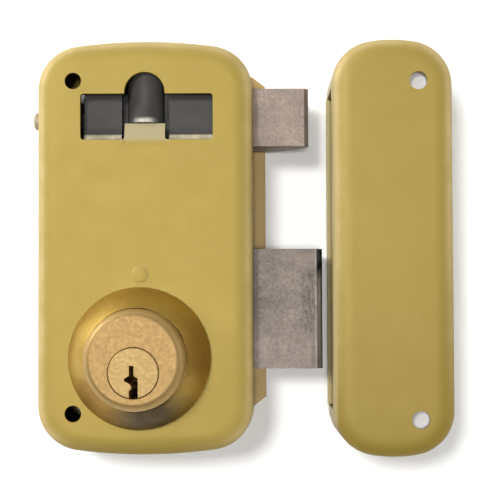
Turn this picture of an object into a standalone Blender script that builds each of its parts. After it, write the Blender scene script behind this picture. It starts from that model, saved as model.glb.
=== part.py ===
# Rim night latch with its keeper, lying on its back.
# X runs from the lock to the keeper, Y up the door and Z out of the door into the room.
# The origin is the middle of the lock's flat back.

import math

import bmesh
import bpy
from mathutils import Matrix, Vector

MM = 0.001

# Clearances
FIT = 0.3 * MM
RUN = 0.4 * MM
PIN_FIT = 0.15 * MM
MERGE = 0.0005 * MM

# Facets of round pieces
FINE = 40
ROUND = 24
SMALL = 16
TINY = 12
CORNER_STEPS = 6
CURL_STEPS = 10
PIN_CURL_STEPS = 8
EDGE_STEPS = 5
INNER_STEPS = 2
FLANK_STEPS = 2
SMOOTH_BELOW = math.radians(35)

# Lock case
CASE_WIDTH = 62.4 * MM
CASE_HEIGHT = 120.0 * MM
CASE_DEPTH = 26.0 * MM
CORNER_RADIUS = 13.0 * MM
END_RADIUS = 150.0 * MM
EDGE_RADIUS = 3.8 * MM
WALL = 1.6 * MM
BASE_THICKNESS = 2.5 * MM
LIP = 3.9 * MM
LIP_INSET = 9.4 * MM
LIP_RISE = 3.0 * MM
LIP_SLANT = 3.0 * MM
HOLE_RADIUS = 2.4 * MM
HOLE_SIDE = 10.5 * MM
HOLE_END = 12.0 * MM
PILLAR_RADIUS = 3.2 * MM
SCREW_RADIUS = 1.2 * MM
SCREW_HEAD = 2.7 * MM
SCREW_CONE = 1.5 * MM
SCREW_LENGTH = 9.0 * MM
END_PILLAR_SIDE = 17.0 * MM
END_PILLAR_INSET = 6.5 * MM
LEFT_PILLAR_GAP = 3.0 * MM
RIGHT_PILLAR_SIDE = 13.0 * MM

# Thumb window and slide
WINDOW_RIGHT = 19.7 * MM
WINDOW_HEIGHT = 13.4 * MM
WINDOW_DROP = 1.0 * MM
WINDOW_REVEAL = 0.6 * MM
ARCH_HALF = 5.85 * MM
ARCH_STRAIGHT = 0.4 * MM
TONGUE_LENGTH = 5.6 * MM
TONGUE_DIP = 2.1 * MM
TONGUE_THICKNESS = 1.2 * MM
WING_DEPTH = 4.6 * MM
WING_LIP = 1.4 * MM
WING_DISH = 4.5 * MM
COLUMN_RADIUS = 5.4 * MM
COLUMN_GROOVE = 2.0 * MM
SLIDE_PLATE = 1.1 * MM
SLIDE_END_GAP = 0.6 * MM
SLIDE_LAP = 1.0 * MM
THUMB_RISE = 1.5 * MM
THUMB_FLARE = 7.0 * MM
SLIDE_SCREW_PITCH = 5.2 * MM
SLIDE_SCREW_RADIUS = 1.0 * MM
SLIDE_SCREW_HEAD = 2.1 * MM
SLIDE_SCREW_GRIP = 2.2 * MM

# Latch bolt
LATCH_INSET = 21.4 * MM
LATCH_HEIGHT = 17.1 * MM
LATCH_OUT = 12.6 * MM
LATCH_TRAVEL = 11.0 * MM
LATCH_NOSE = 2.6 * MM
LATCH_CROWN = 1.8 * MM
LATCH_EDGE = 1.2 * MM
LATCH_TAIL = 5.0 * MM
LATCH_TAIL_HEIGHT = 7.6 * MM
BOLT_THICKNESS = 12.0 * MM
BOLT_ABOVE_LEVER = 1.4 * MM
SLIDE_ROOM = 8.4 * MM
ROD_RADIUS = 2.6 * MM
ROD_PROUD = 3.0 * MM
ROD_GRIP = 4.6 * MM
SPRING_WIRE = 0.45 * MM
SPRING_RADIUS = 3.75 * MM
SPRING_TURNS = 7
SPRING_SHUT = 8.0 * MM
WASHER = 0.6 * MM

# Dead bolt and its drive
BOLT_HEIGHT = 35.2 * MM
BOLT_ABOVE_CYLINDER = 14.25 * MM
BOLT_OUT = 16.5 * MM
BOLT_CHAMFER = 2.0 * MM
TAIL_THICKNESS = 3.5 * MM
GUIDE_POST_RADIUS = 2.5 * MM
GUIDE_POST_RISE = 24.1 * MM
MARK_RADIUS = 2.9 * MM
MARK_HEIGHT = 0.5 * MM
MODULE = 1.0 * MM
DRIVE_TEETH = 10
WHEEL_TEETH = 20
PINION_TEETH = 10
PRESSURE = math.radians(25)
ADDENDUM = 0.8 * MODULE
DEDENDUM = 1.05 * MODULE
BACKLASH = 0.2 * MM
GEAR_THICKNESS = 3.0 * MM
GEAR_LEAN = math.radians(110)
HUB_RADIUS = 3.7 * MM
HUB_DEPTH = 2.5 * MM
HUB_RISE = 3.5 * MM
POST_RADIUS = 2.3 * MM
SHOULDER_RADIUS = 3.4 * MM
SPIGOT_RADIUS = 1.8 * MM
CLIP_THICKNESS = 0.8 * MM
CLIP_GROOVE = 0.5 * MM
CLIP_RIM = 1.5 * MM
CLIP_MOUTH = math.radians(40)
GUIDE_THICKNESS = 2.2 * MM
GUIDE_MARGIN = 2.0 * MM
RIVET_RADIUS = 1.5 * MM
RIVET_HEAD = 2.5 * MM
RIVET_DOME = 1.2 * MM

# Latch lever
LEVER_SIDE = 5.0 * MM
LEVER_DROP = 5.8 * MM
LEVER_THICKNESS = 2.0 * MM
LEVER_WIDTH = 5.0 * MM
LEVER_PEG_X = 2.2 * MM
PEG_RADIUS = 1.4 * MM
FORK_WALL = 2.0 * MM
BOSS_START = math.radians(130)
BOSS_END = math.radians(410)

# Cylinder
CYLINDER_X = -1.5 * MM
CYLINDER_END = 27.8 * MM
CYLINDER_PROUD = 20.0 * MM
FLANGE_RADIUS = 14.1 * MM
FLANGE_THICKNESS = 8.8 * MM
FACE_RADIUS = 11.9 * MM
FACE_STEP = 0.5 * MM
SHOULDER_DROP = 3.4 * MM
SHOULDER_BOW = 0.6 * MM
BARREL_RADIUS = 12.4 * MM
ROSETTE_RADIUS = 20.4 * MM
ROSETTE_RIM = 1.0 * MM
ROSETTE_DROP = 7.6 * MM
ROSETTE_WALL = 1.5 * MM
ROSETTE_LAND = 0.9 * MM
ROSETTE_BOW = 0.6 * MM
NUT_THICKNESS = 4.0 * MM
NUT_RADIUS = 16.4 * MM
PLUG_RADIUS = 6.95 * MM
PLUG_DROP = 3.4 * MM
PLUG_TAIL = 2.4 * MM
TAIL_FLAT = 1.7 * MM
CROSS_RADIUS = 0.75 * MM
PLUG_CLIP_MOUTH = math.radians(35)
KEY_TOP = 2.0 * MM
KEY_OFFSET = 1.1 * MM
KEY_BLADE = 1.25 * MM
KEY_SHOULDER = 1.15 * MM
KEY_WARD = 1.3 * MM
KEY_RIB = 0.6 * MM
KEY_STEP = 0.7 * MM
PIN_RADIUS = 1.25 * MM
PIN_PITCH = 4.2 * MM
PIN_COUNT = 4
PIN_FIRST = 10.8 * MM
KEY_PIN_TIP = 1.3 * MM
KEY_PIN_POINT = 0.75 * MM
DRIVER_POINT = 0.35 * MM
CAP_POINT = 0.25 * MM
DRIVER_LENGTH = 3.1 * MM
CAP_LENGTH = 1.6 * MM
PIN_WIRE = 0.2 * MM
PIN_TURNS = 3

# Keeper
KEEPER_GAP = 23.1 * MM
KEEPER_DROP = 0.3 * MM
KEEPER_WIDTH = 35.0 * MM
KEEPER_HEIGHT = 121.4 * MM
KEEPER_END_RADIUS = 40.0 * MM
KEEPER_LIP = 0.3 * MM
KEEPER_MOUTH_END = 13.6 * MM
KEEPER_MOUTH_DEPTH = 5.6 * MM
KEEPER_HOLE_SIDE = 10.1 * MM
KEEPER_HOLE_END = 11.7 * MM
KEEPER_HOLE_DROP = 1.2 * MM
KEEPER_PILLAR_Y = 22.0 * MM
KEEPER_PILLAR_SIDE = 6.0 * MM
SPACER_WALL = 1.5 * MM
SPACER_WEB = 1.0 * MM
SPACER_CUP = 1.2 * MM

# Places that follow from the sizes
right_face = CASE_WIDTH / 2
left_inside = -CASE_WIDTH / 2 + WALL
ceiling = CASE_DEPTH - WALL
floor_top = BASE_THICKNESS + FIT
lip_face = right_face + LIP
bolt_throw = math.pi * MODULE * PINION_TEETH * DRIVE_TEETH / WHEEL_TEETH

bolt_top = CASE_DEPTH - SLIDE_ROOM
bolt_z = bolt_top - BOLT_THICKNESS
lever_top = bolt_top - BOLT_ABOVE_LEVER
lever_z = lever_top - LEVER_THICKNESS
tail_top = lever_z - 2 * RUN
tail_z = tail_top - TAIL_THICKNESS
gear_top = tail_z - RUN
gear_z = gear_top - GEAR_THICKNESS
cylinder_rear = bolt_top + 2 * RUN
face_z = CASE_DEPTH + CYLINDER_PROUD

latch_y = CASE_HEIGHT / 2 - LATCH_INSET
cylinder_y = -CASE_HEIGHT / 2 + CYLINDER_END
plug_y = cylinder_y - PLUG_DROP
bolt_y = cylinder_y + BOLT_ABOVE_CYLINDER
post_y = cylinder_y + GUIDE_POST_RISE
gear_reach = MODULE * (DRIVE_TEETH + WHEEL_TEETH) / 2
transfer_x = CYLINDER_X + gear_reach * math.cos(GEAR_LEAN)
transfer_y = plug_y + gear_reach * math.sin(GEAR_LEAN)
rack_y = transfer_y + MODULE * PINION_TEETH / 2

plug_clip_radius = PLUG_RADIUS + CLIP_RIM
head_back = CYLINDER_X + plug_clip_radius + 2 * FIT + bolt_throw
guide_face = right_face - WALL - 2 * FIT

washer_x = left_inside + FIT
spring_x = washer_x + WASHER + FIT
spring_length = SPRING_SHUT + LATCH_TRAVEL
block_x = spring_x + spring_length + FIT
rod_z = lever_z - FIT - LATCH_TAIL / 2
slide_left = left_inside + LATCH_TRAVEL + SLIDE_END_GAP
slide_right = WINDOW_RIGHT + SLIDE_LAP
slide_z = bolt_top + FIT
window_left = slide_left - WINDOW_REVEAL
window_low = latch_y - WINDOW_HEIGHT / 2 - WINDOW_DROP
window_high = window_low + WINDOW_HEIGHT

lever_x = left_inside + LEVER_SIDE
lever_y = cylinder_y - LEVER_DROP
lever_lean = math.atan2(LEVER_PEG_X - lever_x, latch_y - lever_y)
lever_reach = math.hypot(LEVER_PEG_X - lever_x, latch_y - lever_y)
bolt_peg_y = (post_y - GUIDE_POST_RADIUS - FIT + rack_y + DEDENDUM) / 2
bolt_peg_x = (
    lever_x
    + (bolt_peg_y - lever_y) * math.tan(lever_lean)
    + LEVER_WIDTH / 2 / math.cos(lever_lean)
    + FIT
    + PEG_RADIUS
    + bolt_throw
)

keeper_x = lip_face - LIP + KEEPER_GAP + KEEPER_WIDTH / 2
keeper_left = keeper_x - KEEPER_WIDTH / 2
keeper_right = keeper_x + KEEPER_WIDTH / 2

latch_low = latch_y - LATCH_HEIGHT / 2
latch_high = latch_y + LATCH_HEIGHT / 2
bolt_low = bolt_y - BOLT_HEIGHT / 2
bolt_high = bolt_y + BOLT_HEIGHT / 2
between_bolts = (latch_low + bolt_high) / 2
pillars = [
    (right_face - END_PILLAR_SIDE, CASE_HEIGHT / 2 - END_PILLAR_INSET),
    (right_face - END_PILLAR_SIDE, -CASE_HEIGHT / 2 + END_PILLAR_INSET),
    (left_inside + LEFT_PILLAR_GAP + PILLAR_RADIUS, between_bolts),
    (guide_face - RIGHT_PILLAR_SIDE, between_bolts),
]
door_holes = [
    (-CASE_WIDTH / 2 + HOLE_SIDE, side * (CASE_HEIGHT / 2 - HOLE_END)) for side in (1, -1)
]
keeper_holes = [
    (keeper_right - KEEPER_HOLE_SIDE, side * (KEEPER_HEIGHT / 2 - KEEPER_HOLE_END) - KEEPER_HOLE_DROP)
    for side in (1, -1)
]
keeper_pillars = [
    (keeper_right - KEEPER_PILLAR_SIDE, side * KEEPER_PILLAR_Y - KEEPER_DROP) for side in (1, -1)
]

for old in list(bpy.data.objects):
    bpy.data.objects.remove(old)


# Materials
def material(name, colour, metallic, roughness):
    made = bpy.data.materials.new(name)
    made.use_nodes = True
    shader = made.node_tree.nodes["Principled BSDF"]
    shader.inputs["Base Color"].default_value = (*colour, 1.0)
    shader.inputs["Metallic"].default_value = metallic
    shader.inputs["Roughness"].default_value = roughness
    return made


gold_paint = material("gold_paint", (0.55, 0.40, 0.12), 0.6, 0.35)
steel = material("steel", (0.42, 0.39, 0.36), 1.0, 0.35)
grey_plastic = material("grey_plastic", (0.11, 0.10, 0.09), 0.0, 0.4)
brass = material("brass", (0.66, 0.46, 0.19), 1.0, 0.25)
zinc = material("zinc", (0.62, 0.62, 0.60), 1.0, 0.3)
white_plastic = material("white_plastic", (0.86, 0.86, 0.85), 0.0, 0.45)


# Solids as bmesh
def prism(points, low, high):
    bm = bmesh.new()
    face = bm.faces.new([bm.verts.new((x, y, low)) for x, y in points])
    grown = bmesh.ops.extrude_face_region(bm, geom=[face])["geom"]
    verts = [item for item in grown if isinstance(item, bmesh.types.BMVert)]
    bmesh.ops.translate(bm, verts=verts, vec=(0, 0, high - low))
    bmesh.ops.recalc_face_normals(bm, faces=bm.faces)
    return bm


def block(x0, x1, y0, y1, z0, z1):
    return prism([(x0, y0), (x1, y0), (x1, y1), (x0, y1)], z0, z1)


def loft(rings):
    bm = bmesh.new()
    rows = [[bm.verts.new(point) for point in ring] for ring in rings]
    for low, high in zip(rows, rows[1:]):
        for i in range(len(low)):
            j = (i + 1) % len(low)
            bm.faces.new((low[i], low[j], high[j], high[i]))
    bm.faces.new(reversed(rows[0]))
    bm.faces.new(rows[-1])
    bmesh.ops.recalc_face_normals(bm, faces=bm.faces)
    return bm


def turned(profile, centre=(0, 0), steps=ROUND):
    # The facets start half a step round, so that crossing round pieces share no corner
    bm = bmesh.new()
    lean = math.pi / steps
    verts = [
        bm.verts.new((radius * math.cos(lean), radius * math.sin(lean), z)) for radius, z in profile
    ]
    edges = [bm.edges.new(pair) for pair in zip(verts, verts[1:])]
    if profile[0][0] > 0:
        edges.append(bm.edges.new((verts[-1], verts[0])))
    bmesh.ops.spin(
        bm, geom=verts + edges, axis=(0, 0, 1), cent=(0, 0, 0), angle=math.tau, steps=steps,
        use_merge=True,
    )
    bmesh.ops.remove_doubles(bm, verts=bm.verts, dist=MERGE)
    bmesh.ops.recalc_face_normals(bm, faces=bm.faces)
    bmesh.ops.translate(bm, verts=bm.verts, vec=(centre[0], centre[1], 0))
    return bm


def rod(radius, low, high, centre=(0, 0), steps=SMALL):
    return turned([(0, low), (radius, low), (radius, high), (0, high)], centre, steps)


def placed(bm, matrix):
    bmesh.ops.transform(bm, matrix=matrix, verts=bm.verts)
    return bm


def along_x(bm, y, z):
    turn = Matrix(((0, 0, 1, 0), (1, 0, 0, y), (0, 1, 0, z), (0, 0, 0, 1)))
    return placed(bm, turn)


def along_y(bm, x, z):
    turn = Matrix(((0, 1, 0, x), (0, 0, 1, 0), (1, 0, 0, z), (0, 0, 0, 1)))
    return placed(bm, turn)


# Objects
def add(name, bm, look):
    mesh = bpy.data.meshes.new(name)
    bm.to_mesh(mesh)
    bm.free()
    made = bpy.data.objects.new(name, mesh)
    bpy.context.scene.collection.objects.link(made)
    made.data.materials.append(look)
    return made


def copies(name, bm, look, places):
    first = add(f"{name}_1", bm, look)
    soften(first)
    first.location = places[0]
    for i, place in enumerate(places[1:], 2):
        more = bpy.data.objects.new(f"{name}_{i}", first.data)
        bpy.context.scene.collection.objects.link(more)
        more.location = place


def combine(target, bm, operation):
    tool = add("tool", bm, target.data.materials[0])
    step = target.modifiers.new("combine", "BOOLEAN")
    step.operation = operation
    step.solver = "EXACT"
    step.object = tool
    graph = bpy.context.evaluated_depsgraph_get()
    done = bpy.data.meshes.new_from_object(target.evaluated_get(graph))
    target.modifiers.clear()
    old = target.data
    target.data = done
    done.name = old.name
    bpy.data.meshes.remove(old)
    bpy.data.objects.remove(tool)


def carve(target, *cutters):
    for bm in cutters:
        combine(target, bm, "DIFFERENCE")


def fuse(target, *pieces):
    for bm in pieces:
        combine(target, bm, "UNION")


def soften(made):
    made.data.shade_smooth()
    made.data.set_sharp_from_angle(angle=SMOOTH_BELOW)


def hold_at(made, x, y, z):
    made.data.transform(Matrix.Translation((-x, -y, -z)))
    made.location = (x, y, z)


# Outlines
def arc(cx, cy, radius, start, stop, count):
    steps = [start + (stop - start) * i / count for i in range(count + 1)]
    return [(cx + radius * math.cos(t), cy + radius * math.sin(t)) for t in steps]


def bulged(start, stop, rise, count):
    # A line that swells to its right-hand side by the rise
    run = Vector(stop) - Vector(start)
    side = Vector((run.y, -run.x)).normalized()
    points = []
    for i in range(count + 1):
        share = i / count
        point = Vector(start) + run * share + side * rise * 4 * share * (1 - share)
        points.append(tuple(point))
    return points


def bowed(width, height, end, inset=0.0, cx=0.0, cy=0.0):
    # A plate with round corners and bowed ends, drawn in by the inset
    side = width / 2 - CORNER_RADIUS
    lean = math.asin(side / (end - CORNER_RADIUS))
    corner_y = height / 2 - end + (end - CORNER_RADIUS) * math.cos(lean)
    small = CORNER_RADIUS - inset
    quarter = math.pi / 2
    half = arc(side, corner_y, small, 0, quarter - lean, CORNER_STEPS)
    half += arc(0, height / 2 - end, end - inset, quarter - lean, quarter + lean, CORNER_STEPS)[1:-1]
    half += arc(-side, corner_y, small, quarter + lean, math.pi, CORNER_STEPS)
    return [(cx + x, cy + y) for x, y in half] + [(cx - x, cy - y) for x, y in half]


def stadium(x0, x1, y, radius):
    right = arc(x1, y, radius, -math.pi / 2, math.pi / 2, CORNER_STEPS)
    return right + arc(x0, y, radius, math.pi / 2, 3 * math.pi / 2, CORNER_STEPS)


def dome_rings(width, height, end, cx=0.0, cy=0.0):
    # Runs from the ceiling down the inside, then up the outside to the top
    inner_edge = max(EDGE_RADIUS - WALL, WALL / 4)
    levels = []
    for i in range(INNER_STEPS + 1):
        t = math.pi / 2 * (1 - i / INNER_STEPS)
        inset = WALL + inner_edge * (1 - math.cos(t))
        levels.append((inset, ceiling - inner_edge * (1 - math.sin(t))))
    levels += [(WALL, 0.0), (0.0, 0.0)]
    for i in range(EDGE_STEPS + 1):
        t = math.pi / 2 * i / EDGE_STEPS
        inset = EDGE_RADIUS * (1 - math.cos(t))
        levels.append((inset, CASE_DEPTH - EDGE_RADIUS * (1 - math.sin(t))))
    return [
        [(x, y, z) for x, y in bowed(width, height, end, inset, cx, cy)] for inset, z in levels
    ]


# Involute teeth
def involute(radius, base):
    angle = math.acos(min(1.0, base / radius))
    return math.tan(angle) - angle


def gear_outline(teeth, phase, cx=0.0, cy=0.0):
    pitch = MODULE * teeth / 2
    base = pitch * math.cos(PRESSURE)
    tip = pitch + ADDENDUM
    root = pitch - DEDENDUM
    half = math.pi / 2 / teeth - BACKLASH / 4 / pitch
    start = max(base, root)
    flank = [start + (tip - start) * i / FLANK_STEPS for i in range(FLANK_STEPS + 1)]
    width = [half + involute(pitch, base) - involute(r, base) for r in flank]
    if root < base:
        flank.insert(0, root)
        width.insert(0, width[0])
    points = []
    for k in range(teeth):
        middle = phase + math.tau * k / teeth
        for r, w in zip(flank, width):
            points.append((cx + r * math.cos(middle - w), cy + r * math.sin(middle - w)))
        for r, w in zip(reversed(flank), reversed(width)):
            points.append((cx + r * math.cos(middle + w), cy + r * math.sin(middle + w)))
    return points


def rack_points():
    # Teeth point down, with a space over the pinion's upright tooth
    pitch = math.pi * MODULE
    half = pitch / 4 - BACKLASH / 4
    slope = math.tan(PRESSURE)
    points = []
    for k in range(-1, round(bolt_throw / pitch) + 1):
        middle = transfer_x + (k + 0.5) * pitch
        wide = half + DEDENDUM * slope
        narrow = half - ADDENDUM * slope
        points += [(middle - wide, rack_y + DEDENDUM), (middle - narrow, rack_y - ADDENDUM)]
        points += [(middle + narrow, rack_y - ADDENDUM), (middle + wide, rack_y + DEDENDUM)]
    return points


# Fasteners
def back_screw():
    tip = floor_top + SCREW_LENGTH
    profile = [
        (0, 0.0), (SCREW_HEAD, 0.0), (SCREW_RADIUS, SCREW_CONE),
        (SCREW_RADIUS, tip - SCREW_RADIUS), (0, tip),
    ]
    return turned(profile, steps=TINY)


def back_screw_hole(x, y):
    wide = SCREW_HEAD + FIT
    narrow = SCREW_RADIUS + FIT
    top = BASE_THICKNESS + FIT
    profile = [(0, -FIT), (wide, -FIT), (wide, 0.0), (narrow, SCREW_CONE), (narrow, top), (0, top)]
    return turned(profile, (x, y), TINY)


def pillar(x, y):
    return rod(PILLAR_RADIUS, floor_top, ceiling + WALL / 2, (x, y))


def pillar_bore(x, y):
    depth = floor_top + SCREW_LENGTH + FIT
    return rod(SCREW_RADIUS + PIN_FIT, floor_top - FIT, depth, (x, y), TINY)


def post(x, y, shoulder_top, top):
    neck = top - CLIP_GROOVE - CLIP_THICKNESS - 2 * PIN_FIT
    groove = POST_RADIUS - CLIP_GROOVE
    profile = [
        (0, 0.0), (SPIGOT_RADIUS, 0.0), (SPIGOT_RADIUS, floor_top), (SHOULDER_RADIUS, floor_top),
        (SHOULDER_RADIUS, shoulder_top), (POST_RADIUS, shoulder_top), (POST_RADIUS, neck),
        (groove, neck), (groove, top - CLIP_GROOVE), (POST_RADIUS, top - CLIP_GROOVE),
        (POST_RADIUS, top), (0, top),
    ]
    return turned(profile, (x, y), SMALL)


def clip(x, y, low, inner, outer, gape):
    # An open ring that snaps into a groove
    near = arc(x, y, inner, gape, math.tau - gape, TINY)
    far = arc(x, y, outer, math.tau - gape, gape, TINY)
    return prism(near + far, low, low + CLIP_THICKNESS)


# Case cover
cover = add("case_cover", loft(dome_rings(CASE_WIDTH, CASE_HEIGHT, END_RADIUS)), gold_paint)
fuse(cover, *[pillar(x, y) for x, y in pillars])
carve(cover, *[pillar_bore(x, y) for x, y in pillars])
tongue_low = window_low - WINDOW_REVEAL
arch_x = (window_left + WINDOW_RIGHT) / 2 - WINDOW_REVEAL
window = [
    (window_left, window_low), (arch_x - ARCH_HALF, window_low), (arch_x - ARCH_HALF, tongue_low),
    (arch_x + ARCH_HALF, tongue_low), (arch_x + ARCH_HALF, window_low),
    (WINDOW_RIGHT, window_low), (WINDOW_RIGHT, window_high), (arch_x + ARCH_HALF, window_high),
]
window += arc(arch_x, window_high + ARCH_STRAIGHT, ARCH_HALF, 0, math.pi, TINY)
window += [(arch_x - ARCH_HALF, window_high), (window_left, window_high)]
carve(cover, prism(window, ceiling - WALL, CASE_DEPTH + WALL))
tongue_tip = tongue_low + TONGUE_LENGTH
slope_top = CASE_DEPTH - TONGUE_DIP
tongue = [
    (tongue_low - WALL, ceiling + WALL / 3), (tongue_low, CASE_DEPTH - TONGUE_THICKNESS),
    (tongue_tip, slope_top - TONGUE_THICKNESS), (tongue_tip, slope_top),
    (tongue_low, CASE_DEPTH - WALL / 100), (tongue_low - WALL, ceiling + 2 * WALL / 3),
]
tongue_half = ARCH_HALF + WINDOW_REVEAL / 3
fuse(cover, along_x(prism(tongue, arch_x - tongue_half, arch_x + tongue_half), 0, 0))
carve(
    cover,
    *[rod(HOLE_RADIUS, ceiling - WALL, CASE_DEPTH + WALL, spot, ROUND) for spot in door_holes],
    rod(BARREL_RADIUS + FIT, ceiling - WALL, CASE_DEPTH + WALL, (CYLINDER_X, cylinder_y), FINE),
    rod(GUIDE_POST_RADIUS + PIN_FIT, ceiling - WALL, CASE_DEPTH + WALL, (CYLINDER_X, post_y)),
    along_x(rod(ROD_RADIUS + FIT, left_inside - 2 * WALL, left_inside + WALL), latch_y, rod_z),
)
wall_in = right_face - 2 * WALL
wall_out = right_face + WALL
lip_low = LIP_RISE - CASE_HEIGHT / 2 + LIP_INSET
lip_high = LIP_RISE + CASE_HEIGHT / 2 - LIP_INSET
carve(
    cover,
    block(wall_in, wall_out, latch_low - FIT, latch_high + FIT, bolt_z - FIT, bolt_top + FIT),
    block(wall_in, wall_out, bolt_low - FIT, bolt_high + FIT, bolt_z - FIT, bolt_top + FIT),
    block(
        right_face - CORNER_RADIUS, wall_out, lip_low - FIT, lip_high + FIT, -WALL, floor_top
    ),
)
soften(cover)

# Base plate with the lip that shows beside the cover
base_outline = bowed(CASE_WIDTH, CASE_HEIGHT, END_RADIUS, WALL + FIT)
base = add("base_plate", prism(base_outline, 0.0, BASE_THICKNESS), gold_paint)
lip = [
    (right_face - CORNER_RADIUS / 2, lip_low), (right_face, lip_low),
    (lip_face, lip_low + LIP_SLANT), (lip_face, lip_high - LIP_SLANT),
    (right_face, lip_high), (right_face - CORNER_RADIUS / 2, lip_high),
]
fuse(base, prism(lip, 0.0, BASE_THICKNESS))
spigots = [(lever_x, lever_y), (transfer_x, transfer_y), (CYLINDER_X, post_y)]
rivet_x = guide_face - GUIDE_THICKNESS - 2 * RIVET_HEAD + RIVET_RADIUS
rivet_edge = GUIDE_MARGIN + RIVET_HEAD
rivets = [
    (rivet_x, bolt_low - rivet_edge),
    (rivet_x, bolt_high + rivet_edge),
    (rivet_x, latch_low - rivet_edge),
]
through = BASE_THICKNESS + FIT
carve(
    base,
    *[rod(HOLE_RADIUS, -FIT, through, spot) for spot in door_holes],
    *[rod(SPIGOT_RADIUS + PIN_FIT, -FIT, through, spot, TINY) for spot in spigots],
    *[rod(RIVET_RADIUS + PIN_FIT, -FIT, through, spot, TINY) for spot in rivets],
    *[back_screw_hole(x, y) for x, y in pillars],
    rod(2 * HUB_RADIUS, -FIT, through, (CYLINDER_X, plug_y), ROUND),
)
soften(base)
copies("cover_screw", back_screw(), zinc, [(x, y, 0) for x, y in pillars])

# Bolt guide plate inside the front wall
guide_back = guide_face - GUIDE_THICKNESS
guide_low = bolt_low - GUIDE_MARGIN - 2 * RIVET_HEAD
guide_high = latch_high + GUIDE_MARGIN
guide_top = CASE_DEPTH - EDGE_RADIUS - FIT
guide = add(
    "bolt_guide_plate",
    block(guide_back, guide_face, guide_low, guide_high, floor_top, guide_top),
    steel,
)
foot_top = floor_top + GUIDE_THICKNESS
foot_x = rivet_x - RIVET_HEAD - FIT
fuse(
    guide,
    block(
        foot_x, guide_back + GUIDE_THICKNESS / 2, guide_low, bolt_low - GUIDE_MARGIN,
        floor_top, foot_top,
    ),
    block(
        foot_x, guide_back + GUIDE_THICKNESS / 2, bolt_high + GUIDE_MARGIN,
        latch_low - GUIDE_MARGIN, floor_top, foot_top,
    ),
)
past = guide_face + GUIDE_THICKNESS
short = guide_back - GUIDE_THICKNESS / 2
carve(
    guide,
    block(short, past, latch_low - FIT, latch_high + FIT, bolt_z - FIT, bolt_top + FIT),
    block(short, past, bolt_low - FIT, bolt_high + FIT, bolt_z - FIT, bolt_top + FIT),
    *[rod(RIVET_RADIUS + PIN_FIT, floor_top - FIT, foot_top + FIT, spot, TINY) for spot in rivets],
)
case_inside = bowed(CASE_WIDTH, CASE_HEIGHT, END_RADIUS, WALL + FIT)
combine(guide, prism(case_inside, 0.0, CASE_DEPTH), "INTERSECT")


def rivet():
    rise = foot_top + FIT
    profile = [
        (0, 0.0), (RIVET_RADIUS, 0.0), (RIVET_RADIUS, rise), (RIVET_HEAD, rise),
        (RIVET_RADIUS, rise + RIVET_DOME), (0, rise + RIVET_DOME),
    ]
    return turned(profile, steps=TINY)


copies("guide_plate_rivet", rivet(), steel, [(x, y, 0) for x, y in rivets])

# Latch bolt: bevelled head, tail, two pads for the slide and a block for the rod
latch_tip = lip_face + LATCH_OUT
latch_back = guide_back - RUN - RIVET_HEAD
bevel_x = right_face + WALL
nose_z = bolt_top - LATCH_NOSE
latch_side = [(latch_back, bolt_top), (latch_back, bolt_z)]
latch_side += bulged((bevel_x, bolt_z), (latch_tip, nose_z), LATCH_CROWN, CORNER_STEPS)
latch_side += [(latch_tip, bolt_top - LATCH_EDGE), (latch_tip - LATCH_EDGE, bolt_top)]
upright = Matrix(((1, 0, 0, 0), (0, 0, 1, 0), (0, 1, 0, 0), (0, 0, 0, 1)))
latch_head = placed(prism(latch_side, latch_low, latch_high), upright)
bmesh.ops.recalc_face_normals(latch_head, faces=latch_head.faces)
latch = add("latch_bolt", latch_head, steel)
tail_low = latch_y - LATCH_TAIL_HEIGHT / 2
tail_high = latch_y + LATCH_TAIL_HEIGHT / 2
fork_half = PEG_RADIUS + RUN + FORK_WALL
pad_left = LEVER_PEG_X - fork_half - 2 * FORK_WALL * math.sin(lever_lean) - RUN
pad_right = LEVER_PEG_X + fork_half + 2 * FORK_WALL * math.sin(lever_lean) + RUN
latch_tail_top = lever_z - FIT
latch_tail_z = latch_tail_top - LATCH_TAIL
fuse(
    latch,
    block(
        block_x + RUN, latch_back + GUIDE_THICKNESS, tail_low, tail_high,
        latch_tail_z, latch_tail_top,
    ),
    block(
        block_x, pad_left, tail_low - RUN, tail_high + RUN,
        rod_z - ROD_RADIUS - WALL, bolt_top - RUN / 4,
    ),
    block(
        pad_right, latch_back + GUIDE_THICKNESS / 2, tail_low + RUN, tail_high - RUN,
        latch_tail_top - WALL, bolt_top - RUN / 4,
    ),
    rod(PEG_RADIUS, latch_tail_top - WALL, lever_top + RUN, (LEVER_PEG_X, latch_y), TINY),
)
screw_side = SLIDE_SCREW_HEAD + RUN
slide_screws = [(pad_right + screw_side + i * SLIDE_SCREW_PITCH, latch_y) for i in range(2)]


def slide_screw(play=0.0, spot=(0, 0)):
    top = slide_z + SLIDE_SCREW_GRIP + play
    low = latch_tail_z - 2 * play
    wide = SLIDE_SCREW_HEAD + play
    narrow = SLIDE_SCREW_RADIUS + play
    profile = [(0, low), (wide, low), (wide, latch_tail_z + RUN)]
    profile += [(narrow, latch_tail_z + SCREW_CONE), (narrow, top), (0, top)]
    return turned(profile, spot, TINY)


rod_seat = block_x + ROD_GRIP
carve(
    latch,
    *[slide_screw(PIN_FIT, spot) for spot in slide_screws],
    along_x(rod(ROD_RADIUS + PIN_FIT, block_x - WALL, rod_seat), latch_y, rod_z),
)
hold_at(latch, 0.0, latch_y, (bolt_z + bolt_top) / 2)

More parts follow.
